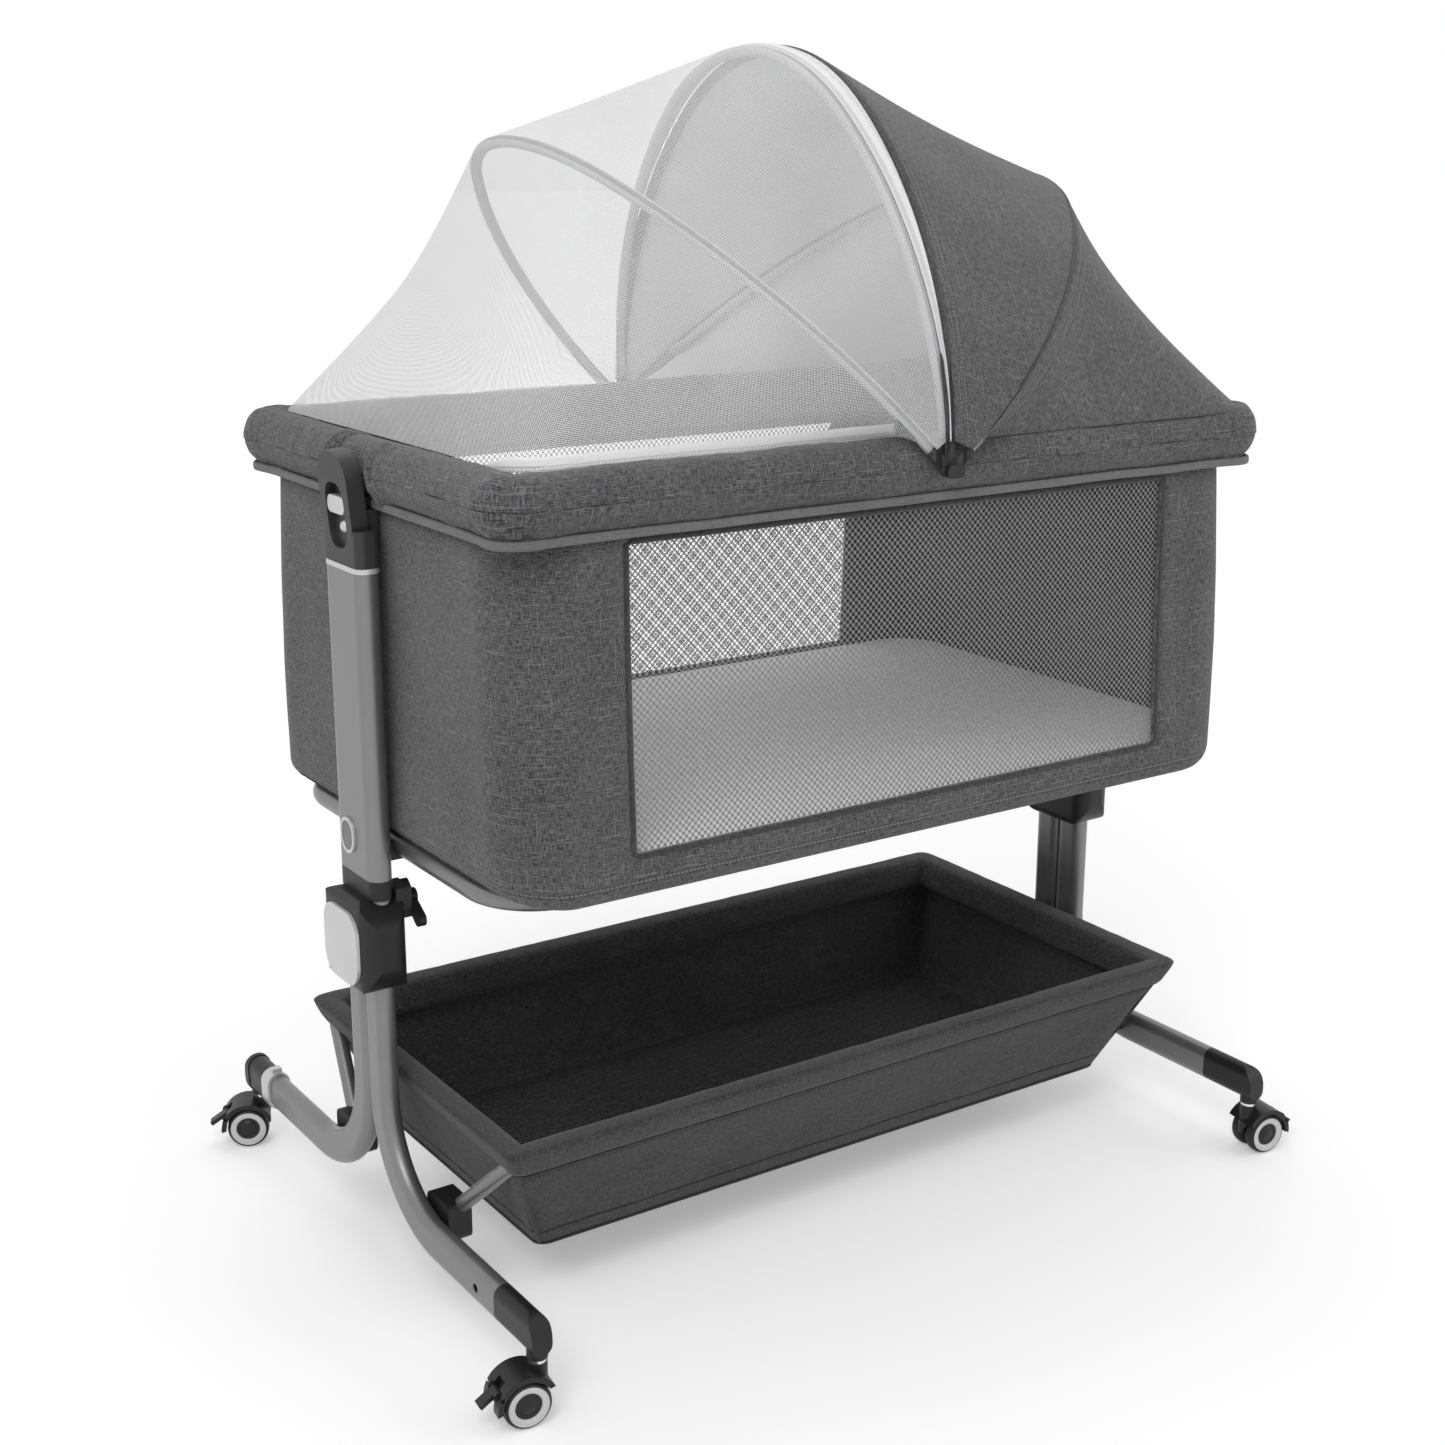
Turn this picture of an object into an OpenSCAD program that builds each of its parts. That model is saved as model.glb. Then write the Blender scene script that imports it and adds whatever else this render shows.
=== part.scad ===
/* [Stand] */
// Distance from the rail's centre line out to the middle of a stand
stand_out = 26; // [26:1:36]
// Distance from the middle of a stand to a caster stem
foot_reach = 293.5; // [260:0.5:340]
// Width of a leg tube, in the plane of its bend
leg_w = 34.5; // [32:0.5:38]
// Thickness of a leg tube
leg_t = 19; // [17:0.5:22]
// Wall of every oval tube
tube_wall = 1.5; // [1.2:0.1:2]
// Gap between the two upright legs of a stand
leg_gap = 0.3; // [0.2:0.1:1]
// Bend radius of a leg, on its centre line
leg_bend = 105; // [80:1:130]
// Height of the foot run, on its centre line
foot_z = 76; // [72:0.5:84]
// Distance from a front caster stem back to the end of the bare tube
cap_back = 56; // [50:0.5:64]
// Length of a front cap beyond the caster stem
cap_nose = 9.5; // [9.5:0.5:16]
// Length of a rear sleeve beyond the caster stem
sleeve_nose = 12; // [11:0.5:20]
// Width of the clamp ring on a rear foot
foot_ring_w = 18; // [12:1:24]
// Diameter of the adjusting hole in a front foot
foot_hole_d = 8; // [5:0.5:10]

/* [Height adjustment] */
// Height of the lower edge of the upper tube
upper_low = 387; // [380:1:392]
// Height of the upper edge of the upper tube
upper_high = 660; // [640:1:662]
// Sliding gap between the legs and the upper tube
slide_gap = 0.35; // [0.3:0.05:0.5]
// Height of the collar under the upper tube
collar_h = 18; // [12:1:24]
// Width of the height housing, across the stand
housing_w = 94; // [88:1:104]
// Depth of the height housing, along the crib
housing_d = 44; // [42:1:50]
// Height of the height housing
housing_h = 86; // [84:1:96]
// Side of the height button
button_w = 68; // [60:1:72]
// Travel of the height button
button_travel = 4; // [3:0.5:5]
// Spacing of the height holes in the legs
level_step = 20; // [18:1:25]
// Number of height levels
levels = 6; // [4:1:7]
// Diameter of a latch pin
latch_d = 7; // [6:0.5:8]

/* [Head] */
// Height of the tip of the head's tongue
head_top = 761; // [755:1:765]
// Width of the tongue
tongue_w = 58; // [54:1:66]
// Thickness of the tongue
tongue_t = 15; // [12:0.5:16]
// Outward lean of the tongue
tongue_lean = 5; // [3:0.5:6]
// Travel of the release button
release_travel = 3; // [2:0.5:4]

/* [Crib] */
// Half length of the rail's centre line
rail_l = 393; // [380:1:395]
// Half width of the rail's centre line
rail_w = 236; // [220:1:250]
// Corner radius of the rail's centre line
rail_r = 36; // [34:1:60]
// Diameter of the rail tube
rail_d = 22; // [18:1:25]
// Height of the rail's centre line
rail_z = 741; // [738:1:744]
// Width of the padded rim
pad_w = 46; // [42:1:46]
// Height of the padded rim
pad_h = 52; // [48:1:56]
// Distance of the shell's ends beyond the rail's centre line
shell_out = 8; // [0:1:9]
// Distance of the shell's foot beyond the rail's centre line, at the sides
shell_foot_out = 16; // [8:1:20]
// Distance of the shell's top beyond the rail's centre line, at the sides
shell_top_out = 6; // [4:1:12]
// Corner radius of the fabric shell
shell_r = 62; // [50:1:80]
// Thickness of the fabric shell
shell_t = 3; // [2:0.5:4]
// Height of the underside of the shell
shell_low = 419; // [410:1:425]
// Distance from a mesh window to the end of the shell
window_in = 109; // [102:1:140]
// Height of a window's lower edge
window_low = 451; // [446:1:460]
// Height of a window's upper edge
window_high = 705; // [690:1:708]
// Thickness of the window mesh
mesh_t = 1.2; // [0.8:0.1:1.5]
// Thickness of the floor board
board_t = 5; // [4:0.5:6]
// Thickness of the mattress
mattress_t = 20; // [15:1:24]
// Diameter of the under-floor tube
loop_d = 19; // [16:1:22]

/* [Canopy] */
// Distance of the canopy pivots from the middle of the crib
pivot_x = 12; // [0:1:30]
// Reach of the zipped bow above its pivot
main_reach = 346; // [320:1:360]
// Reach of the middle bow of the fabric half
mid_reach = 372; // [350:1:380]
// Reach of the bow of the net half
net_reach = 382; // [360:1:385]
// Diameter of a bow
bow_d = 7; // [5:0.5:8]
// Thickness of a bow's flat end
strap_t = 2.2; // [1.8:0.1:3]
// Width of a bow's flat end
strap_w = 10; // [8:0.5:12]
// Gap between neighbouring flat ends
strap_gap = 0.4; // [0.3:0.1:0.6]
// Diameter of the pivot bolt
pivot_d = 6; // [5:0.5:7]
// Thickness of the canopy cloth
cloth_t = 1.2; // [0.8:0.1:2]

/* [Basket] */
// Distance from the basket's rim to the middle of a stand
tray_in = 27; // [23:1:45]
// Half width of the basket's rim
tray_w = 206; // [180:1:220]
// Height of the basket's rim
tray_top = 186; // [175:1:200]
// Slope of the basket's ends, from rim to floor
tray_end_in = 55; // [50:1:90]
// Slope of the basket's sides, from rim to floor
tray_side_in = 56; // [45:1:75]
// Height of the basket's underside
tray_low = 60; // [50:1:75]
// Thickness of the basket's walls
tray_t = 5; // [4:0.5:8]
// Diameter of a basket bar
bar_d = 15; // [12:0.5:18]

/* [Casters] */
// Diameter of a caster wheel
wheel_d = 42; // [38:1:46]
// Width of a caster wheel
wheel_w = 13; // [11:0.5:15]
// Diameter of a wheel axle
axle_d = 6; // [5:0.5:7]
// Distance from a wheel axle to its swivel axis
caster_trail = 14; // [10:0.5:16]
// Diameter of a caster stem
stem_d = 9; // [8:0.5:11]
// Running gap between a shaft and its hole
run_gap = 0.08; // [0.03:0.01:0.1]

/* [Hidden] */
$fn = 48;
eps = 0.01;
stand_x = rail_l + stand_out;
shell_l = rail_l + shell_out;
shell_w_low = rail_w + shell_foot_out;
shell_w_high = rail_w + shell_top_out;
window_l = shell_l - window_in;
tray_l = stand_x - tray_in;
tray_floor_l = tray_l - tray_end_in;
tray_floor_w = tray_w - tray_side_in;

// Oval tubes: the upper tube slides on the pair of legs
leg_off = (leg_w + leg_gap) / 2;
bore_w = 2 * leg_w + leg_gap + 2 * slide_gap;
bore_t = leg_t + 2 * slide_gap;
upper_w = bore_w + 2 * tube_wall;
upper_t = bore_t + 2 * tube_wall;
plug_h = 14;
plug_gap = 0.1;
trim_h = 4.5;
trim_proud = 0.6;
stop_gap = 0.3;
leg_top = upper_high - plug_h - stop_gap;
bezel_w = 27;
bezel_h = 33;
bezel_band = 3;
bezel_t = 2;
bezel_y = 9;
bezel_z = upper_low + 33;

// Feet
spigot_gap = 0.15;
spigot_l = 16;
cap_joint = foot_reach - cap_back;
sleeve_start = cap_joint + foot_ring_w + 4;
sleeve_skin = 2;
socket_z = 55;
socket_roof = 10;

// Height housing, measured outward from the middle of the stand
housing_top = upper_low - collar_h;
housing_low = housing_top - housing_h;
housing_mid = (housing_top + housing_low) / 2;
housing_edge = 9;
button_z = housing_mid - 2;
housing_out = housing_d / 2 + 3.5;
housing_in = housing_out - housing_d;
button_t = 9;
button_gap = 0.4;
button_proud = 3;
pocket_floor = housing_out + button_proud - button_t - button_travel;
post_l = pocket_floor - leg_t / 2 - stop_gap;
knob_y = -20;
knob_z = housing_top - 6;
lug_t = 8;
lug_w = 28;
paddle_l = 26;
paddle_t = 7;
knob_stem_d = 6;

// Head, measured outward from the middle of the stand
head_low = upper_high + trim_h;
seat_z = 712;
lean_z = 690;
recess_w = 36;
recess_h = 56;
recess_floor = 6;
recess_z = 706;
release_w = 34;
release_h = 15;
release_z = 715;
release_t = 8;
release_floor = 1.5;
rivet_y = -6;
rivet_z = 697;
rivet_d = 10.5;
slot_x = -8.5;
slot_t = 6;
slot_wall = 3;
slot_w = 36;
slot_low = 672;
hanger_gap = 0.4;
saddle_r = 7;

// Crib
pad_r = pad_w / 2;
pad_z = rail_z + 1;
pad_low = pad_z - pad_h / 2;
pad_top = pad_z + pad_h / 2;
crown_z = pad_top - pad_r;
shell_top = pad_low - 0.4;
shell_lean = atan((shell_w_low - shell_w_high) / (shell_top - shell_low));
board_z = shell_low + shell_t + 0.3;
mattress_z = board_z + board_t + 0.3;
soft_gap = 3;
hem = 8;
loop_z = shell_low - loop_d / 2 - 0.3;
loop_l = shell_l - loop_d / 2 - 2;
loop_w = shell_w_low - 45;
loop_r = 60;
loop_wall = 1.5;
clip_w = 28;
clip_skin = 3;
run_clear = 0.35;

// Canopy bows: two side arcs and a top arc each, in one plane through the pivots
side_a = 49;
eye_rise = 9;
strap_l = 80;
bow_sides = 12;
bow_rows = 22;
bow_first = rail_w + pad_r + 2 + strap_t / 2;
bow_pitch = strap_t + strap_gap;
edge_w = bow_first;
net_w = edge_w + bow_pitch;
main_w = net_w + bow_pitch;
mid_w = main_w + bow_pitch;
edge_angle = -4.8;
net_angle = -45.6;
main_angle = 0;
mid_angle = 50.8;
plug_w = 12;
plug_rise = 19;
plug_t = 5;

// Canopy cloth: rows of points from one edge to the other, columns over the top
cloth_cols = 20;
cloth_rows = 4;
seam_turn = 45;
seam_off = (bow_d / 2 + 0.3) * sin(seam_turn);
cloth_lift = (bow_d / 2 + 0.3) * cos(seam_turn);
cloth_start = 55;
cloth_gap = 1.2;
hood_seam = 40;
net_seam = -20;
skin_turn = 60;
tape_t = 1;

// Basket bars: each lies in one sloping plane, from bracket to hem to bracket
tray_r = 6;
hem_w = 22.5;
hem_h = 24;
bar_top = tray_top - 10;
bar_y = tray_w - 13.5;
bar_x = tray_l - 12;
bar_wall = 1.5;
bar_r = 26;
bar_splay = 9;
bar_swage = 0.2;
bar_gap = 0.4;
bracket_y = 98;
bracket_z = foot_z + 12;
bar_slope = atan((bar_top - bracket_z) / (bar_y - bracket_y));
bar_arm = ((bar_y - bracket_y) / cos(bar_slope) - bar_r * (1 - sin(bar_splay))) / cos(bar_splay);
bracket_l = 23;
bracket_w = 42;
bracket_h = 38;

// Casters, measured from the swivel axis
axle_z = wheel_d / 2;
wheel_gap = 0.6;
web_t = 7;
wheel_in = web_t / 2 + wheel_gap;
hood_r = wheel_d / 2 + 6;
flange_h = 3;
hood_top = socket_z - flange_h - stop_gap;
hood_tilt = 18;
guard_rise = 6;
web_drop = 7;
hood_bore_z = 40;
boss_d = 17;
brake_x = caster_trail + 22.5;
brake_z = axle_z + 12;
brake_w = 12;
brake_l = 18;
brake_slope = 35;
turns = [[172, 155], [-8, 25]];

// ---- shared shapes ----

// Flat oval, long side along x
module oval(w, t) {
    union() {
        square([w - t, t], center = true);
        for (s = [-1, 1]) translate([s * (w - t) / 2, 0]) circle(d = t, $fn = 64);
    }
}

// Rectangle with round corners
module round_rect(w, h, r) {
    union() {
        square([w - 2 * r, h], center = true);
        square([w, h - 2 * r], center = true);
        for (sx = [-1, 1], sy = [-1, 1])
            translate([sx * (w / 2 - r), sy * (h / 2 - r)]) circle(r = r, $fn = 64);
    }
}

// A stand's own frame: x outward, y to the rear, z up; end -1 is left, 1 is right
module at_stand(end) {
    mirror([end < 0 ? 1 : 0, 0, 0]) translate([stand_x, 0, 0]) children();
}

// A shape drawn facing outward on a stand: its x to the rear, its y up, its z outward
module facing_out(x, y, z) {
    translate([x, y, z]) rotate([90, 0, 90]) children();
}

// A shape drawn in the plane of a bend: its x away from the middle, its y up
module bend_plane(side) {
    rotate([90, 0, side * 90]) children();
}

// Profile swept round the crib: x outward, y up
module ring_sweep(l, w, r) {
    for (k = [0 : 3])
        translate([(k == 0 || k == 3 ? 1 : -1) * (l - r), (k < 2 ? 1 : -1) * (w - r), 0])
            rotate([0, 0, 90 * k]) rotate_extrude(angle = 90, $fn = 96) translate([r, 0]) children();
    for (s = [-1, 1]) {
        translate([s * l, s * (w - r), 0]) rotate([90, 0, s > 0 ? 0 : 180])
            linear_extrude(2 * (w - r)) children();
        translate([-s * (l - r), s * w, 0]) rotate([90, 0, 90 * s])
            linear_extrude(2 * (l - r)) children();
    }
}

// Solid between two flat rounded rectangles at different heights
module taper(l0, w0, z0, l1, w1, z1, r) {
    hull() {
        translate([0, 0, z0]) linear_extrude(eps) round_rect(2 * l0, 2 * w0, r);
        translate([0, 0, z1 - eps]) linear_extrude(eps) round_rect(2 * l1, 2 * w1, r);
    }
}

// ---- stand: legs and feet ----

module leg_sweep(w, t, over, foot_end) {
    translate([leg_off, foot_z + leg_bend, 0]) rotate([-90, 0, 0])
        linear_extrude(leg_top - foot_z - leg_bend + over) oval(w, t);
    translate([leg_off + leg_bend, foot_z + leg_bend, 0]) rotate([0, 0, 180])
        rotate_extrude(angle = 90, $fn = 96) translate([leg_bend, 0]) oval(w, t);
    translate([leg_off + leg_bend, foot_z, 0]) rotate([0, 90, 0])
        linear_extrude(foot_end - leg_off - leg_bend + over) rotate(90) oval(w, t);
}

module leg(end, side) {
    foot_end = side < 0 ? cap_joint : sleeve_start;
    at_stand(end) difference() {
        bend_plane(side) leg_sweep(leg_w, leg_t, 0, foot_end);
        bend_plane(side) leg_sweep(leg_w - 2 * tube_wall, leg_t - 2 * tube_wall, 1, foot_end);
        for (i = [0 : levels - 1])
            facing_out(0, side * leg_off, button_z + i * level_step) cylinder(d = latch_d, h = leg_t);
        if (side < 0)
            facing_out(0, -(cap_joint - 33), foot_z) cylinder(d = foot_hole_d, h = leg_t);
    }
}

module leg_front_left() { color("#8d8f92") leg(-1, -1); }
module leg_rear_left() { color("#8d8f92") leg(-1, 1); }
module leg_front_right() { color("#8d8f92") leg(1, -1); }
module leg_rear_right() { color("#8d8f92") leg(1, 1); }

// Oval bar along a foot, from u0 to u1
module foot_oval(w, t, u0, u1) {
    translate([u0, foot_z, 0]) rotate([0, 90, 0]) linear_extrude(u1 - u0) rotate(90) oval(w, t);
}

module spigot(u) {
    foot_oval(leg_w - 2 * tube_wall - 2 * spigot_gap, leg_t - 2 * tube_wall - 2 * spigot_gap,
        u - spigot_l, u + eps);
}

// Hole for a caster stem, up into a foot
module stem_hole() {
    translate([foot_reach, socket_z - 1, 0]) rotate([-90, 0, 0])
        cylinder(d = stem_d, h = foot_z + socket_roof - socket_z + 1);
}

module front_foot_cap(end) {
    nose = foot_reach + cap_nose;
    nose_r = leg_w * 0.6;
    at_stand(end) bend_plane(-1) difference() {
        union() {
            intersection() {
                foot_oval(leg_w, leg_t, cap_joint + eps, nose);
                translate([0, 0, -leg_t]) linear_extrude(2 * leg_t) union() {
                    translate([cap_joint, foot_z - leg_w / 2]) square([nose - cap_joint - nose_r, leg_w]);
                    translate([cap_joint, foot_z - leg_w / 2]) square([nose - cap_joint, leg_w - nose_r]);
                    translate([nose - nose_r, foot_z + leg_w / 2 - nose_r]) circle(r = nose_r, $fn = 64);
                }
            }
            translate([foot_reach, socket_z, 0]) rotate([-90, 0, 0]) cylinder(d = leg_t - 1, h = 14);
            spigot(cap_joint + eps);
        }
        stem_hole();
    }
}

module front_foot_caps() { color("#2a2b2d") for (end = [-1, 1]) front_foot_cap(end); }

module rear_foot_sleeve(end) {
    u1 = foot_reach + sleeve_nose;
    at_stand(end) bend_plane(1) difference() {
        union() {
            foot_oval(leg_w + 2 * sleeve_skin, leg_t + 2 * sleeve_skin, sleeve_start + eps, u1 - 8);
            intersection() {
                foot_oval(leg_w + 6, leg_t + 6, u1 - 12, u1);
                translate([u1 - leg_w, foot_z, 0]) sphere(r = leg_w, $fn = 96);
            }
            translate([foot_reach, socket_z, 0]) rotate([-90, 0, 0]) cylinder(d = leg_t - 1, h = 12);
            spigot(sleeve_start + eps);
        }
        stem_hole();
    }
}

module rear_foot_sleeves() { color("#2a2b2d") for (end = [-1, 1]) rear_foot_sleeve(end); }

module rear_foot_rings() {
    color("#b9bcc0") for (end = [-1, 1]) at_stand(end) bend_plane(1) difference() {
        union() {
            foot_oval(leg_w + 5, leg_t + 5, sleeve_start - foot_ring_w, sleeve_start - 0.2);
            translate([sleeve_start - foot_ring_w + 3, foot_z + leg_w / 2 - 2, -5]) cube([8, 8, 10]);
        }
        foot_oval(leg_w, leg_t, 0, sleeve_start + 1);
    }
}

// ---- basket ----

// A basket bar, drawn in its own plane: x along the crib, y down the slope
module bar_sweep(d, over) {
    straight = bar_x - bar_r;
    translate([-straight, 0, 0]) rotate([0, 90, 0]) cylinder(d = d, h = 2 * straight);
    for (s = [0, 1]) mirror([s, 0, 0]) {
        translate([straight, bar_r, 0]) rotate([0, 0, -90])
            rotate_extrude(angle = 90 - bar_splay, $fn = 64) translate([bar_r, 0]) circle(d = d);
        translate([straight, bar_r, 0]) rotate([0, 0, -bar_splay]) translate([bar_r, -1, 0])
            rotate([-90, 0, 0]) cylinder(d = d - 2 * bar_swage, h = bar_arm + 1 + over);
    }
}

// Puts a bar's plane in place: side -1 is front, 1 is rear
module bar_place(side) {
    mirror([0, side > 0 ? 1 : 0, 0]) translate([0, -bar_y, bar_top]) rotate([-bar_slope, 0, 0]) children();
}

module basket_bar(side) {
    bar_place(side) difference() {
        bar_sweep(bar_d, 0);
        bar_sweep(bar_d - 2 * bar_wall, 1);
    }
}

module basket_bar_front() { color("#8d8f92") basket_bar(-1); }
module basket_bar_rear() { color("#8d8f92") basket_bar(1); }

module leg_brackets() {
    color("#232426") difference() {
        for (end = [-1, 1], side = [-1, 1])
            at_stand(end) translate([-leg_t / 2 - bracket_l, side * bracket_y, bracket_z])
                rotate([0, 90, 0]) linear_extrude(bracket_l) round_rect(bracket_h, bracket_w, 8);
        for (side = [-1, 1]) bar_place(side) bar_sweep(bar_d, 0);
    }
}

function tray_at(z, floor_size, rim_size) =
    floor_size + (rim_size - floor_size) * (z - tray_low) / (tray_top - tray_low);

module basket_tray() {
    hem_low = tray_top - hem_h;
    low = tray_low + tray_t;
    color("#3a3b3d") difference() {
        taper(tray_floor_l, tray_floor_w, tray_low, tray_l, tray_w, tray_top, tray_r);
        taper(tray_floor_l - tray_t, tray_floor_w - tray_t, low,
            tray_at(hem_low, tray_floor_l, tray_l) - hem_w, tray_at(hem_low, tray_floor_w, tray_w) - hem_w,
            hem_low + eps, tray_r);
        translate([0, 0, hem_low]) linear_extrude(hem_h + 1)
            round_rect(2 * (tray_l - hem_w), 2 * (tray_w - hem_w), tray_r);
        for (side = [-1, 1]) bar_place(side) bar_sweep(bar_d + 2 * bar_gap, 4);
    }
}

module basket_board() {
    color("#2b2b2c") translate([0, 0, tray_low + tray_t + 0.3]) linear_extrude(3)
        round_rect(2 * (tray_floor_l - tray_t - 4), 2 * (tray_floor_w - tray_t - 4), tray_r);
}

// ---- height adjustment ----

module upper_tube(end) {
    color("#8d8f92") at_stand(end) translate([0, 0, upper_low]) linear_extrude(upper_high - upper_low)
        rotate(90) difference() {
            oval(upper_w, upper_t);
            oval(bore_w, bore_t);
        }
}

module upper_tube_left() { upper_tube(-1); }
module upper_tube_right() { upper_tube(1); }

module collar(end) {
    color("#232426") at_stand(end) translate([0, 0, housing_top]) linear_extrude(collar_h)
        rotate(90) difference() {
            oval(upper_w, upper_t);
            oval(bore_w, bore_t);
        }
}

module collar_left() { collar(-1); }
module collar_right() { collar(1); }

module housing(end) {
    mid_x = (housing_out + housing_in) / 2;
    color("#232426") at_stand(end) difference() {
        union() {
            intersection() {
                translate([mid_x, 0, housing_low]) linear_extrude(housing_h)
                    round_rect(housing_d, housing_w, 16);
                facing_out(housing_in - 1, 0, housing_mid) linear_extrude(housing_d + 2)
                    round_rect(housing_w, housing_h, 26);
                translate([mid_x, housing_w, housing_mid]) rotate([90, 0, 0]) linear_extrude(2 * housing_w)
                    round_rect(housing_d, housing_h, housing_edge);
            }
            translate([housing_in - lug_t, knob_y - lug_w / 2, knob_z - 14])
                cube([-housing_in + lug_t - upper_t / 2 - 0.2, lug_w, 28]);
        }
        translate([0, 0, housing_low - 1]) linear_extrude(housing_h + 2) rotate(90) oval(bore_w, bore_t);
        facing_out(pocket_floor, 0, button_z) linear_extrude(housing_d)
            round_rect(button_w + 2 * button_gap, button_w + 2 * button_gap, 20 + button_gap);
        for (s = [-1, 1]) facing_out(0, s * leg_off, button_z)
            cylinder(d = latch_d + 2 * run_gap, h = housing_d);
        facing_out(housing_in - lug_t - 1, knob_y, knob_z)
            cylinder(d = knob_stem_d + 2 * run_gap, h = lug_t + 1);
    }
}

module housing_left() { housing(-1); }
module housing_right() { housing(1); }

module height_button(end) {
    inner = pocket_floor + button_travel;
    color("#c9cbcd") at_stand(end) union() {
        facing_out(inner, 0, button_z) linear_extrude(button_t)
            round_rect(button_w, button_w, 20);
        for (s = [-1, 1]) facing_out(inner - post_l, s * leg_off, button_z)
            cylinder(d = latch_d, h = post_l + 1);
    }
}

module height_button_left() { height_button(-1); }
module height_button_right() { height_button(1); }

module lock_knob(end) {
    face = housing_in - lug_t - 0.4;
    color("#1f2022") at_stand(end) translate([0, knob_y, knob_z]) union() {
        facing_out(face, 0, 0) cylinder(d = knob_stem_d, h = lug_t - 1);
        facing_out(face - paddle_t - 2, 0, 0) cylinder(d = 14, h = paddle_t + 2);
        facing_out(face - paddle_t, 0, 0) linear_extrude(paddle_t - 0.5)
            for (wing = [[216, paddle_l, 13], [36, paddle_l / 2, 11]]) rotate(wing[0]) hull() {
                circle(d = 9, $fn = 32);
                translate([wing[1], 0]) circle(d = wing[2], $fn = 32);
            }
    }
}

module lock_knob_left() { lock_knob(-1); }
module lock_knob_right() { lock_knob(1); }

// Pale trim: ring over the tube's end, bezel of the height window, rivet in the head
module trim(end) {
    color("#d6d8da") at_stand(end) {
        translate([0, 0, upper_high]) linear_extrude(trim_h) rotate(90) difference() {
            oval(upper_w + 2 * trim_proud, upper_t + 2 * trim_proud);
            oval(bore_w, bore_t);
        }
        facing_out(upper_t / 2, bezel_y, bezel_z) difference() {
            linear_extrude(bezel_t) rotate(90) oval(bezel_h, bezel_w);
            translate([0, 0, bezel_t - 1]) linear_extrude(2)
                rotate(90) oval(bezel_h - 2 * bezel_band, bezel_w - 2 * bezel_band);
        }
        facing_out(recess_floor, rivet_y, rivet_z) union() {
            cylinder(d = rivet_d, h = 2);
            intersection() {
                cylinder(d = rivet_d, h = rivet_d);
                sphere(d = rivet_d + 1, $fn = 48);
            }
        }
    }
}

module trim_left() { trim(-1); }
module trim_right() { trim(1); }

module head(end) {
    tongue_low = head_low + 12;
    color("#26272a") at_stand(end) difference() {
        union() {
            translate([0, 0, upper_high - plug_h]) linear_extrude(plug_h + trim_h)
                rotate(90) oval(bore_w - 2 * plug_gap, bore_t - 2 * plug_gap);
            translate([0, 0, head_low]) linear_extrude(lean_z + 6 - head_low)
                rotate(90) round_rect(upper_w, upper_t, 8);
            translate([slot_x - slot_t / 2 - slot_wall, -slot_w / 2 - 5, slot_low - 6])
                cube([slot_wall + slot_t / 2 - slot_x, slot_w + 10, seat_z - slot_low + 6]);
            translate([upper_t / 2, 0, lean_z]) rotate([0, tongue_lean, 0])
                facing_out(-tongue_t, 0, (head_top + tongue_low) / 2 - lean_z)
                    linear_extrude(tongue_t) round_rect(tongue_w, head_top - tongue_low, 26);
        }
        translate([slot_x - slot_t / 2, -slot_w / 2, slot_low]) cube([slot_t, slot_w, seat_z]);
        facing_out(recess_floor, 0, recess_z) linear_extrude(20) round_rect(recess_w, recess_h, 15);
        facing_out(release_floor, 0, release_z) linear_extrude(20)
            round_rect(release_w + 2 * button_gap, release_h + 2 * button_gap, 7);
    }
}

module head_left() { head(-1); }
module head_right() { head(1); }

module release_button(end) {
    color("#d6d8da") at_stand(end) facing_out(release_floor + release_travel + 0.3, 0, release_z)
        linear_extrude(release_t) round_rect(release_w, release_h, 7);
}

module release_button_left() { release_button(-1); }
module release_button_right() { release_button(1); }

// ---- crib ----

module top_rail() {
    color("#7d7f82") difference() {
        translate([0, 0, rail_z]) ring_sweep(rail_l, rail_w, rail_r) difference() {
            circle(d = rail_d);
            circle(d = rail_d - 2 * tube_wall);
        }
        for (s = [-1, 1]) translate([pivot_x, 0, rail_z]) rotate([-90 * s, 0, 0])
            cylinder(d = pivot_d, h = rail_w + rail_d);
    }
}

module rim_pad() {
    cut = slot_w / 2 + 1;
    saddle = stand_x - rail_l + saddle_r + 1;
    color("#4b4c4f") difference() {
        translate([0, 0, pad_z]) ring_sweep(rail_l, rail_w, rail_r) difference() {
            rotate(90) oval(pad_h, pad_w);
            translate([0, rail_z - pad_z]) circle(d = rail_d + 2 * run_clear);
        }
        for (end = [-1, 1]) at_stand(end) translate([-saddle, -cut, pad_low - 1])
            cube([2 * saddle, 2 * cut, rail_z - pad_low]);
        for (s = [-1, 1]) translate([pivot_x, 0, rail_z]) rotate([-90 * s, 0, 0])
            cylinder(d = pivot_d + 2, h = rail_w + pad_w);
    }
}

module rail_hangers() {
    tab_w = slot_w - 2 * hanger_gap;
    tab_t = slot_t - 2 * hanger_gap;
    tab_out = slot_x + tab_t / 2;
    saddle_x = rail_l - stand_x;
    color("#232426") for (end = [-1, 1]) at_stand(end) difference() {
        union() {
            translate([tab_out - tab_t, -tab_w / 2, slot_low + stop_gap])
                cube([tab_t, tab_w, pad_low + 6 - slot_low - stop_gap]);
            translate([saddle_x - saddle_r, -tab_w / 2, pad_low + 0.4])
                cube([tab_out - saddle_x + saddle_r, tab_w, 5.6]);
            translate([saddle_x - saddle_r, -tab_w / 2, pad_low + 0.4])
                cube([2 * saddle_r, tab_w, rail_z - 4 - pad_low]);
        }
        translate([saddle_x, slot_w, rail_z]) rotate([90, 0, 0]) cylinder(d = rail_d, h = 2 * slot_w);
    }
}

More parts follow.
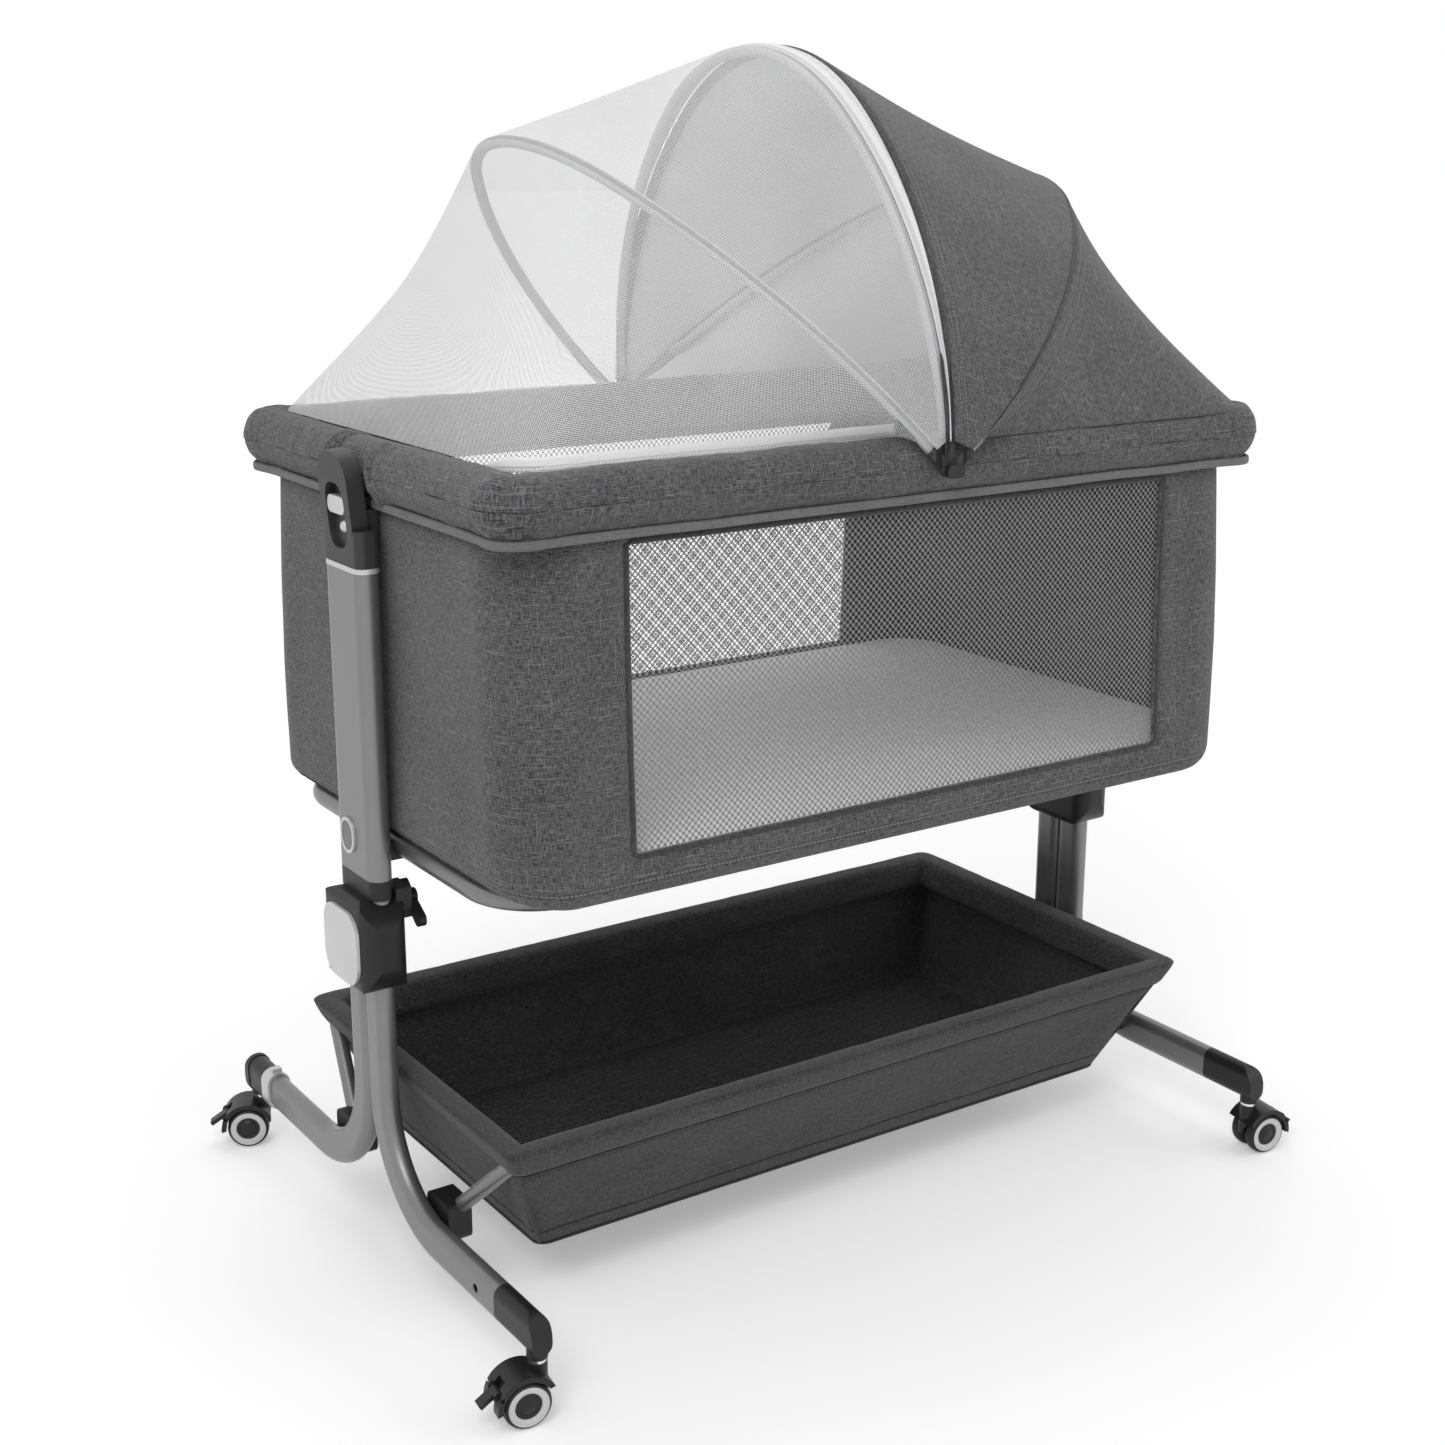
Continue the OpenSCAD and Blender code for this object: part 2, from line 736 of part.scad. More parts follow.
// Shell volume between the board and the rim, pulled in by a wall thickness
module shell_form(inset, z0) {
    lean = (shell_w_low - shell_w_high) / (shell_top - shell_low);
    taper(shell_l - inset, shell_w_low - inset - lean * (z0 - shell_low), z0,
        shell_l - inset, shell_w_high - inset, shell_top + (inset > 0 ? 1 : 0), shell_r - inset);
}

module fabric_shell() {
    color("#47484b") difference() {
        shell_form(0, shell_low);
        shell_form(shell_t, shell_low + shell_t);
        translate([-window_l, -2 * rail_w, window_low])
            cube([2 * window_l, 4 * rail_w, window_high - window_low]);
    }
}

module mesh_windows() {
    mid_z = (window_low + window_high) / 2;
    mid_y = shell_w_low - shell_t - (mid_z - shell_low) * tan(shell_lean);
    color("#c8c9ca") for (s = [-1, 1])
        translate([0, s * (mid_y - mesh_t / 2 - 0.35), mid_z]) rotate([s * shell_lean, 0, 0])
            cube([2 * (window_l + hem), mesh_t, window_high - window_low + 2 * hem - 2], center = true);
}

module floor_board() {
    color("#b08d62") translate([0, 0, board_z]) linear_extrude(board_t)
        round_rect(2 * (shell_l - shell_t - 1), 2 * (shell_w_low - shell_t - 1), shell_r - shell_t - 1);
}

module mattress() {
    inset = shell_t + mesh_t + soft_gap;
    color("#dcdcdc") translate([0, 0, mattress_z]) linear_extrude(mattress_t)
        round_rect(2 * (shell_l - inset), 2 * (shell_w_low - inset), shell_r - inset);
}

module bottom_loop() {
    color("#8d8f92") translate([0, 0, loop_z]) ring_sweep(loop_l, loop_w, loop_r) difference() {
        circle(d = loop_d);
        circle(d = loop_d - 2 * loop_wall);
    }
}

module loop_clips() {
    out_x = stand_x - upper_t / 2 - run_clear;
    in_x = loop_l - loop_d / 2 - clip_skin;
    low_z = loop_z - loop_d / 2 - clip_skin;
    color("#1f2022") for (s = [0, 1]) mirror([s, 0, 0]) difference() {
        translate([in_x, -clip_w / 2, low_z]) cube([out_x - in_x, clip_w, loop_z + loop_d / 4 - low_z]);
        translate([loop_l, clip_w, loop_z]) rotate([90, 0, 0]) cylinder(d = loop_d, h = 2 * clip_w);
    }
}

// ---- canopy bows ----

// Side radius of a bow that has the given half width and reach
function side_radius(w, reach) =
    (reach - eye_rise - (1 - sin(side_a)) * w / cos(side_a))
        / (sin(side_a) - (1 - sin(side_a)) * (1 - cos(side_a)) / cos(side_a));
function top_radius(w, reach) = (w - side_radius(w, reach) * (1 - cos(side_a))) / cos(side_a);
function top_centre(w, reach) = reach - top_radius(w, reach);

// Length along a bow from the end of its eye to its crown
function bow_half(w, reach) =
    (side_radius(w, reach) * side_a + top_radius(w, reach) * (90 - side_a)) * PI / 180;

// [half width, reach, direction] of a bow at a length along it
function bow_at(w, reach, s) =
    let (r1 = side_radius(w, reach), r2 = top_radius(w, reach), a1 = s / r1 * 180 / PI,
        a2 = side_a + (s - r1 * side_a * PI / 180) / r2 * 180 / PI)
    a1 < side_a ? [w - r1 + r1 * cos(a1), eye_rise + r1 * sin(a1), a1]
        : [r2 * cos(a2), top_centre(w, reach) + r2 * sin(a2), a2];

// How far a bow has turned from a flat strap, 0, to a round tube, 1, at a length along it
function roundness(s) = min(1, max(0, (s - strap_l) / 10));

// One ring of a bow: flat near the eye, round beyond; side -1 is front, 1 is rear
function bow_ring(w, reach, side, s) =
    let (p = bow_at(w, reach, s), f = roundness(s),
        across = strap_w + (bow_d - strap_w) * f, thick = strap_t + (bow_d - strap_t) * f)
    [for (i = [0 : bow_sides - 1]) let (a = side * (i + 0.5) * 360 / bow_sides,
            c = cos(a), q = sin(a), m = f < 1 ? 1 / max(abs(c), abs(q)) : 1,
            g = m * (1 - f) + f, out = c * g * thick / 2)
        [q * g * across / 2, side * (p[0] + out * cos(p[2])), p[1] + out * sin(p[2])]];

// Closed tube through rings of points, with a fan over each end
module tube_through(rings) {
    n = len(rings[0]);
    last = len(rings) - 1;
    ends = [for (r = [rings[0], rings[last]]) (r[0] + r[n / 2]) / 2];
    hub = n * (last + 1);
    polyhedron(points = concat([for (r = rings) each r], ends), faces = concat(
        [for (i = [0 : n - 1]) [hub, (i + 1) % n, i]],
        [for (i = [0 : n - 1]) [hub + 1, last * n + i, last * n + (i + 1) % n]],
        [for (j = [0 : last - 1], i = [0 : n - 1])
            let (a = j * n + i, b = j * n + (i + 1) % n) each [[a, b, a + n], [b, b + n, a + n]]]));
}

module bow(w, reach, angle) {
    half = bow_half(w, reach);
    steps = [0, 0.25, 0.5, 0.75, 1];
    run = concat([for (s = steps) s * strap_l], [strap_l + 5, strap_l + 10],
        [for (i = [1 : bow_rows]) strap_l + 10 + (half - strap_l - 10) * i / bow_rows]);
    last = len(run) - 1;
    color("#9a9b9e") translate([pivot_x, 0, rail_z]) rotate([0, angle, 0]) {
        tube_through(concat([for (i = [0 : last]) bow_ring(w, reach, -1, run[i])],
            [for (i = [last - 1 : -1 : 0]) [for (p = bow_ring(w, reach, -1, run[i])) [p[0], -p[1], p[2]]]]));
        for (side = [-1, 1]) bend_plane(side) difference() {
            union() {
                translate([w - strap_t / 2, 0, 0]) rotate([0, 90, 0]) cylinder(d = strap_w + 3, h = strap_t);
                translate([w - strap_t / 2, 0, -strap_w / 2]) cube([strap_t, eye_rise + 0.4, strap_w]);
            }
            translate([w - strap_t, 0, 0]) rotate([0, 90, 0])
                cylinder(d = pivot_d + 2 * run_gap, h = 2 * strap_t);
        }
    }
}

module main_bow() { bow(main_w, main_reach, main_angle); }
module mid_bow() { bow(mid_w, mid_reach, mid_angle); }
module net_bow() { bow(net_w, net_reach, net_angle); }
module net_edge_bow() { bow(edge_w, main_reach, edge_angle); }

module canopy_pivots() {
    start = rail_w - rail_d / 2 - 2;
    finish = mid_w + strap_t / 2 + strap_gap;
    color("#1b1c1e") for (side = [-1, 1])
        translate([pivot_x, 0, rail_z]) bend_plane(side) union() {
            translate([start, 0, 0]) rotate([0, 90, 0]) cylinder(d = pivot_d, h = finish - start + 1);
            translate([finish, 0, 0]) rotate([0, 90, 0]) linear_extrude(plug_t) oval(plug_rise, plug_w);
        }
}

// ---- canopy cloth ----

// Point beside a bow: column k runs from the front pivot over the crown to the rear pivot
function bow_point(w, reach, angle, off, lift, k) =
    let (i = k <= cloth_cols ? k : 2 * cloth_cols - k, side = k <= cloth_cols ? -1 : 1,
        s = cloth_start + (bow_half(w, reach) - cloth_start) * i / cloth_cols,
        p = bow_at(w, reach, s), out = p[0] + lift * cos(p[2]), up = p[1] + lift * sin(p[2]),
        f = roundness(s), aside = off * (f + (1 - f) * (strap_w / 2 + 0.4) / seam_off))
    [pivot_x + up * sin(angle) + aside * cos(angle), side * out,
        rail_z + up * cos(angle) - aside * sin(angle)];

// Point on the rim: column k runs from the front pivot round one end to the rear pivot
function rim_point(dir, seam, skin, k) =
    let (i = k <= cloth_cols ? k : 2 * cloth_cols - k, side = k <= cloth_cols ? -1 : 1,
        out = (pad_r + cloth_gap) * sin(seam) + skin * sin(skin_turn), r = rail_r + out,
        flat = rail_l - rail_r - dir * pivot_x - cloth_start, turn = r * PI / 2,
        s = (flat + turn + rail_w - rail_r) * i / cloth_cols, a = (s - flat) / r * 180 / PI,
        z = crown_z + (pad_r + cloth_gap) * cos(seam) + skin * cos(skin_turn))
    s < flat ? [pivot_x + dir * (cloth_start + s), side * (rail_w + out), z]
        : s < flat + turn
            ? [dir * (rail_l - rail_r + r * sin(a)), side * (rail_w - rail_r + r * cos(a)), z]
            : [dir * (rail_l + out), side * (rail_w - rail_r - (s - flat - turn)), z];

// Thin closed sheet between two rows of points; each edge is [inner row, outer row]
module sheet(first, second, rows) {
    cols = len(first[0]);
    layer = (rows + 1) * cols;
    points = [for (skin = [0, 1], j = [0 : rows], k = [0 : cols - 1])
        first[skin][k] + (second[skin][k] - first[skin][k]) * j / rows];
    inner = [for (j = [0 : rows - 1], k = [0 : cols - 2]) let (a = j * cols + k, b = a + cols)
        each [[a, a + 1, b + 1], [a, b + 1, b]]];
    outer = [for (f = inner) [f[2] + layer, f[1] + layer, f[0] + layer]];
    rim = concat([for (k = [0 : cols - 1]) k], [for (j = [1 : rows]) j * cols + cols - 1],
        [for (k = [cols - 2 : -1 : 0]) rows * cols + k], [for (j = [rows - 1 : -1 : 1]) j * cols]);
    wall = [for (i = [0 : len(rim) - 1]) let (a = rim[i], b = rim[(i + 1) % len(rim)])
        each [[b, a, a + layer], [b, a + layer, b + layer]]];
    polyhedron(points = points, faces = concat(wall, inner, outer), convexity = 6);
}

function bow_edge(w, reach, angle, off, lift, thick) =
    [for (skin = [0, 1]) [for (k = [0 : 2 * cloth_cols])
        bow_point(w, reach, angle, off, lift + skin * thick, k)]];
function rim_edge(dir, seam) =
    [for (skin = [0, 1]) [for (k = [0 : 2 * cloth_cols]) rim_point(dir, seam, skin * cloth_t, k)]];

module canopy_front() {
    color("#47484b") sheet(bow_edge(mid_w, mid_reach, mid_angle, -seam_off, cloth_lift, cloth_t),
        bow_edge(main_w, main_reach, main_angle, seam_off, cloth_lift, cloth_t), cloth_rows);
}

module canopy_rear() {
    color("#47484b") sheet(rim_edge(1, hood_seam),
        bow_edge(mid_w, mid_reach, mid_angle, seam_off, cloth_lift, cloth_t), cloth_rows);
}

module net_front() {
    color("#eceded") sheet(bow_edge(edge_w, main_reach, edge_angle, -seam_off, cloth_lift, cloth_t),
        bow_edge(net_w, net_reach, net_angle, seam_off, cloth_lift, cloth_t), cloth_rows);
}

module net_rear() {
    color("#eceded") sheet(bow_edge(net_w, net_reach, net_angle, -seam_off, cloth_lift, cloth_t),
        rim_edge(-1, net_seam), cloth_rows);
}

module zip_tape() {
    color("#f2f2f2") sheet(bow_edge(main_w, main_reach, main_angle, -1, bow_d / 2 + 0.3, tape_t),
        bow_edge(main_w, main_reach, edge_angle, 1, bow_d / 2 + 0.3, tape_t), 1);
}

// ---- casters ----

// A caster's own frame: x towards the axle, origin on the floor under the stem
module at_caster(end, side) {
    turn = turns[end < 0 ? 0 : 1][side < 0 ? 0 : 1];
    translate([end * stand_x, side * foot_reach, 0]) rotate([0, 0, turn]) children();
}

module caster_stems() {
    color("#cfd2d6") for (end = [-1, 1], side = [-1, 1])
        translate([end * stand_x, side * foot_reach, 0]) union() {
            translate([0, 0, hood_bore_z + 0.3])
                cylinder(d = stem_d, h = foot_z + socket_roof - 0.3 - hood_bore_z - 0.3);
            translate([0, 0, socket_z - flange_h]) cylinder(d = boss_d - 1, h = flange_h);
        }
}

// Everything above a sloping plane through the axle, moved up by a rise
module above_axle(rise) {
    translate([caster_trail, 0, axle_z]) rotate([0, hood_tilt, 0]) translate([-50, -50, rise])
        cube([100, 100, 100]);
}

module caster_hood(end, side) {
    width = 2 * (wheel_in + wheel_w) + 1;
    color("#232426") at_caster(end, side) difference() {
        union() {
            intersection() {
                translate([caster_trail, width / 2, axle_z]) rotate([90, 0, 0])
                    cylinder(r = hood_r, h = width, $fn = 96);
                above_axle(guard_rise);
            }
            intersection() {
                translate([caster_trail, web_t / 2, axle_z]) rotate([90, 0, 0])
                    cylinder(r = wheel_d / 2 - 2, h = web_t, $fn = 96);
                above_axle(-web_drop);
            }
            translate([0, 0, axle_z]) cylinder(d = boss_d, h = hood_top - axle_z);
            translate([brake_x, brake_w / 2 + 4, brake_z]) rotate([90, 0, 0]) cylinder(d = 9, h = brake_w + 8);
        }
        for (s = [-1, 1]) translate([caster_trail, s * (web_t / 2 + width), axle_z]) rotate([90, 0, 0])
            cylinder(r = wheel_d / 2 + 1.2, h = 2 * width, center = true, $fn = 96);
        translate([caster_trail, width, axle_z]) rotate([90, 0, 0])
            cylinder(d = axle_d + 2 * run_gap, h = 2 * width);
        translate([0, 0, hood_bore_z]) cylinder(d = stem_d + 2 * run_gap, h = hood_top);
        translate([brake_x - 6, -brake_w / 2 - 0.4, brake_z - 20]) cube([20, brake_w + 0.8, 40]);
        translate([brake_x, width, brake_z]) rotate([90, 0, 0]) cylinder(d = 3 + 2 * run_gap, h = 2 * width);
    }
}

module caster_wheels(end, side) {
    color("#d9dadb") at_caster(end, side) translate([caster_trail, 0, axle_z]) rotate([90, 0, 0]) {
        for (s = [0, 1]) mirror([0, 0, s]) translate([0, 0, wheel_in]) rotate_extrude($fn = 96)
            polygon([[axle_d / 2 + 0.05, 0], [wheel_d / 2 - 1.5, 0], [wheel_d / 2, 1.5],
                [wheel_d / 2, wheel_w - 2], [wheel_d / 2 - 2, wheel_w], [wheel_d / 2 - 5, wheel_w],
                [wheel_d / 2 - 5.5, wheel_w - 1.5], [axle_d / 2 + 0.05, wheel_w - 1.5]]);
        cylinder(d = axle_d, h = 2 * (wheel_in + wheel_w - 2), center = true);
    }
}

module brake(end, side) {
    color("#1b1c1e") at_caster(end, side) translate([brake_x, 0, brake_z]) union() {
        rotate([90, 0, 0]) cylinder(d = 7, h = brake_w, center = true);
        rotate([90, 0, 0]) cylinder(d = 3, h = brake_w + 5, center = true);
        rotate([0, brake_slope, 0]) translate([0, 0.5 - brake_w / 2, -1]) cube([brake_l, brake_w - 1, 4]);
    }
}

module caster_hood_front_left() { caster_hood(-1, -1); }
module caster_wheels_front_left() { caster_wheels(-1, -1); }
module brake_front_left() { brake(-1, -1); }
module caster_hood_rear_left() { caster_hood(-1, 1); }
module caster_wheels_rear_left() { caster_wheels(-1, 1); }
module brake_rear_left() { brake(-1, 1); }
module caster_hood_front_right() { caster_hood(1, -1); }
module caster_wheels_front_right() { caster_wheels(1, -1); }
module brake_front_right() { brake(1, -1); }
module caster_hood_rear_right() { caster_hood(1, 1); }
module caster_wheels_rear_right() { caster_wheels(1, 1); }
module brake_rear_right() { brake(1, 1); }

leg_front_left();
leg_rear_left();
leg_front_right();
leg_rear_right();
front_foot_caps();
rear_foot_sleeves();
rear_foot_rings();
leg_brackets();
basket_bar_front();
basket_bar_rear();
basket_tray();
basket_board();
caster_stems();
upper_tube_left();
collar_left();
housing_left();
trim_left();
head_left();
height_button_left();
lock_knob_left();
release_button_left();
upper_tube_right();
collar_right();
housing_right();
trim_right();
head_right();
height_button_right();
lock_knob_right();
release_button_right();
top_rail();
rim_pad();
fabric_shell();
mesh_windows();
floor_board();
mattress();
bottom_loop();
loop_clips();
rail_hangers();
canopy_pivots();
main_bow();
mid_bow();
net_bow();
net_edge_bow();
zip_tape();
canopy_front();
canopy_rear();
net_front();
net_rear();
caster_hood_front_left();
caster_wheels_front_left();
brake_front_left();
caster_hood_rear_left();
caster_wheels_rear_left();
brake_rear_left();
caster_hood_front_right();
caster_wheels_front_right();
brake_front_right();
caster_hood_rear_right();
caster_wheels_rear_right();
brake_rear_right();
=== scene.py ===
"""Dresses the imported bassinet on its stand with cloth, net, mesh, padding, wheels and finishes."""

import math

import bmesh
import bpy
from bpy.props import FloatProperty, FloatVectorProperty, IntProperty, PointerProperty
from mathutils import Matrix, Vector, noise
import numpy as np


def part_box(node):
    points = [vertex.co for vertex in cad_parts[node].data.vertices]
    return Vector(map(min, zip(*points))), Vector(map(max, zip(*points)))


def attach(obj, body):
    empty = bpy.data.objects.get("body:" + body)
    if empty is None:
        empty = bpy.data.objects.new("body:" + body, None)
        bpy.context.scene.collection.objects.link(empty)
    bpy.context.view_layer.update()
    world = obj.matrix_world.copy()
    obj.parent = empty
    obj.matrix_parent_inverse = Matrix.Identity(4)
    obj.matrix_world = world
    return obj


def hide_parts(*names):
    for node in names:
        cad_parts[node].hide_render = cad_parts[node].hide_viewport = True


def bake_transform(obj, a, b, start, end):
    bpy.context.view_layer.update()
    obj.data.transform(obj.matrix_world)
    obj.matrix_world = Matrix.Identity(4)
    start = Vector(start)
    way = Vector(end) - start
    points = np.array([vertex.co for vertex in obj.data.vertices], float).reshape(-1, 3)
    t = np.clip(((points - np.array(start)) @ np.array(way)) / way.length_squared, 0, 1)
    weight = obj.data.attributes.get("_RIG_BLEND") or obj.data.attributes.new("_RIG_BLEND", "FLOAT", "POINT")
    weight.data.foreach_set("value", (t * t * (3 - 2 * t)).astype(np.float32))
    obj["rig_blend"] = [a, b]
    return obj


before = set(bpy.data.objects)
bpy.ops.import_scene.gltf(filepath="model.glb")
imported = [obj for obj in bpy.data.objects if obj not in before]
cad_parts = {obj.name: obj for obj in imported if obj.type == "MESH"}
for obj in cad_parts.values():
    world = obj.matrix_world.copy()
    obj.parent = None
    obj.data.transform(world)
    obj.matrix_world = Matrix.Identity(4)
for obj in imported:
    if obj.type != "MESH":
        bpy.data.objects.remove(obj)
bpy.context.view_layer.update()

bl_info = {
    "name": "Bassinet dressing",
    "version": (1, 0, 0),
    "blender": (4, 5, 0),
    "location": "3D View > Sidebar > Bassinet",
    "description": "Cloth, net, padding, wheels and finishes of a bassinet on a stand",
    "category": "Object",
}

# ---------------------------------------------------------------- places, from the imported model

RAIL_LO, RAIL_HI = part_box("top_rail")
RAIL_R = (RAIL_HI.z - RAIL_LO.z) / 2
RAIL_L, RAIL_W, RAIL_Z = RAIL_HI.x - RAIL_R, RAIL_HI.y - RAIL_R, RAIL_LO.z + RAIL_R
RAIL_BEND = 0.036
PAD_LO, PAD_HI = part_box("rim_pad")
PAD_R, PAD_MID = PAD_HI.x - RAIL_L, (PAD_LO.z + PAD_HI.z) / 2
CROWN_Z = PAD_HI.z - PAD_R
SHELL_LO, SHELL_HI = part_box("fabric_shell")
SHELL_BEND = 0.062
MESH_LO, MESH_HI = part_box("mesh_windows")
PIVOT_LO, PIVOT_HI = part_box("canopy_pivots")
PIVOT_X = (PIVOT_LO.x + PIVOT_HI.x) / 2
TRAY_LO, TRAY_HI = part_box("basket_tray")
MATTRESS_LO, MATTRESS_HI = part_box("mattress")
STRAP_T = 0.0022
SIDE_TURN = math.radians(49)
EYE_RISE = 0.009
BOWS = {
    "main_bow": ("canopy_main", 0.0, 0.346),
    "mid_bow": ("canopy_mid", 50.8, 0.372),
    "net_bow": ("net_mid", -45.6, 0.382),
    "net_edge_bow": ("net_edge", -4.8, 0.346),
}
ENDS = {"left": -1, "right": 1}


# ---------------------------------------------------------------- sizes and colours a user may change


class DressSizes(bpy.types.PropertyGroup):
    """Sizes of the cloth work"""

    weave_pitch: FloatProperty(name="Weave pitch", description="Distance between two threads of the linen",
        default=0.0016, min=0.0005, max=0.004, precision=4, unit="LENGTH")
    mesh_pitch: FloatProperty(name="Mesh pitch", description="Distance between two holes of the window mesh",
        default=0.0043, min=0.001, max=0.006, precision=4, unit="LENGTH")
    wall_draw: FloatProperty(name="Wall draw", description="How far a fabric wall pulls in between its corners",
        default=0.005, min=0.0, max=0.006, precision=4, unit="LENGTH")
    hood_sag: FloatProperty(name="Hood sag", description="How far the hood cloth sinks between two bows",
        default=0.006, min=0.0, max=0.03, precision=4, unit="LENGTH")
    net_sag: FloatProperty(name="Net sag", description="How far the net sinks between a bow and the rim",
        default=0.003, min=0.0, max=0.04, precision=4, unit="LENGTH")
    cloth_thickness: FloatProperty(name="Cloth thickness", description="Thickness of the canopy cloth",
        default=0.0012, min=0.0005, max=0.003, precision=4, unit="LENGTH")
    piping_height: FloatProperty(name="Piping height", description="Height of the flat piping under the rim",
        default=0.0075, min=0.004, max=0.014, precision=4, unit="LENGTH")
    wrinkle: FloatProperty(name="Wrinkle", description="Height of the soft wrinkles in the rim's cover",
        default=0.0016, min=0.0, max=0.004, precision=4, unit="LENGTH")
    stitch: FloatProperty(name="Stitch", description="Length of a stitch", default=0.004, min=0.002, max=0.008,
        precision=4, unit="LENGTH")
    wheel_steps: IntProperty(name="Wheel steps", description="Number of steps round a wheel", default=72, min=24,
        max=128)


def colour(label, about, value):
    """A colour property with the usual settings."""
    return FloatVectorProperty(name=label, description=about, default=value, size=3, min=0.0, max=1.0,
        subtype="COLOR")


class DressColours(bpy.types.PropertyGroup):
    """Colours of the finishes"""

    linen_dark: colour("Linen, dark threads", "Darker threads of the charcoal linen", (0.026, 0.026, 0.028))
    linen_pale: colour("Linen, pale threads", "Paler threads of the charcoal linen", (0.185, 0.185, 0.190))
    basket_dark: colour("Basket, dark threads", "Darker threads of the basket cloth", (0.009, 0.009, 0.010))
    basket_pale: colour("Basket, pale threads", "Paler threads of the basket cloth", (0.088, 0.088, 0.090))
    binding: colour("Binding", "Grey binding round the hood's front edge", (0.13, 0.13, 0.135))
    piping: colour("Piping", "Flat piping under the rim", (0.118, 0.118, 0.121))
    net: colour("Net", "White net", (0.93, 0.93, 0.94))
    lining: colour("Lining", "Grey lining inside the hood", (0.80, 0.80, 0.81))
    net_binding: colour("Net binding", "Pale grey sleeve on the net's bows", (0.44, 0.44, 0.45))
    net_binding_pale: colour("Net binding, pale threads", "Paler threads of the net's sleeves", (0.54, 0.54, 0.55))
    tape: colour("Zip tape", "White zip tape", (0.94, 0.94, 0.945))
    mesh: colour("Window mesh", "Threads of the window mesh", (0.25, 0.25, 0.253))
    mattress: colour("Mattress", "Pale mattress cover", (0.93, 0.93, 0.935))
    tube: colour("Tube", "Satin grey tube", (0.225, 0.225, 0.230))
    plastic: colour("Plastic", "Dark satin plastic", (0.012, 0.012, 0.013))
    head: colour("Head", "Dark grey plastic of the heads", (0.034, 0.034, 0.036))
    silver: colour("Silver", "Pale buttons and trims", (0.60, 0.60, 0.61))
    tyre: colour("Tyre", "Black tyre", (0.014, 0.014, 0.015))
    wheel_ring: colour("Wheel ring", "Pale ring on a wheel's face", (0.66, 0.66, 0.67))
    chrome: colour("Chrome", "Polished stem rings", (0.74, 0.75, 0.77))
    floor: colour("Floor", "Pale floor", (0.90, 0.90, 0.90))


def sizes():
    return bpy.context.scene.dress_sizes


def tint(name):
    """A colour from the scene's settings, with its alpha."""
    return (*getattr(bpy.context.scene.dress_colours, name), 1.0)


# ---------------------------------------------------------------- shader work


def add(tree, kind, **settings):
    """A new node of a kind, with its settings."""
    node = tree.nodes.new(kind)
    for key, value in settings.items():
        setattr(node, key, value)
    return node


def put(tree, node, socket, value):
    """Sets an input, or links it where the value is another node's output."""
    if isinstance(value, bpy.types.NodeSocket):
        tree.links.new(value, node.inputs[socket])
    else:
        node.inputs[socket].default_value = value
    return node


def maths(tree, operation, *values):
    node = add(tree, "ShaderNodeMath", operation=operation)
    for index, value in enumerate(values):
        put(tree, node, index, value)
    return node.outputs[0]


def noise_of(tree, vector, scale, detail=2.0, rough=0.5):
    node = add(tree, "ShaderNodeTexNoise")
    put(tree, node, "Vector", vector)
    put(tree, node, "Scale", scale)
    put(tree, node, "Detail", detail)
    put(tree, node, "Roughness", rough)
    return node.outputs["Fac"]


def stretched(tree, vector, scale):
    node = add(tree, "ShaderNodeMapping")
    put(tree, node, "Vector", vector)
    put(tree, node, "Scale", scale)
    return node.outputs[0]


def blend_colours(tree, factor, first, second):
    node = add(tree, "ShaderNodeMix", data_type="RGBA")
    put(tree, node, 0, factor)
    put(tree, node, 6, first)
    put(tree, node, 7, second)
    return node.outputs[2]


def spread(tree, value, low, high, out_low=0.0, out_high=1.0):
    node = add(tree, "ShaderNodeMapRange")
    put(tree, node, "Value", value)
    put(tree, node, "From Min", low)
    put(tree, node, "From Max", high)
    put(tree, node, "To Min", out_low)
    put(tree, node, "To Max", out_high)
    return node.outputs[0]


def group(name, inputs, outputs):
    """A new shader node group, or None where it is there already."""
    if name in bpy.data.node_groups:
        return None
    tree = bpy.data.node_groups.new(name, "ShaderNodeTree")
    for label, kind in inputs:
        tree.interface.new_socket(label, in_out="INPUT", socket_type=kind)
    for label, kind in outputs:
        tree.interface.new_socket(label, in_out="OUTPUT", socket_type=kind)
    return tree, add(tree, "NodeGroupInput").outputs, add(tree, "NodeGroupOutput")


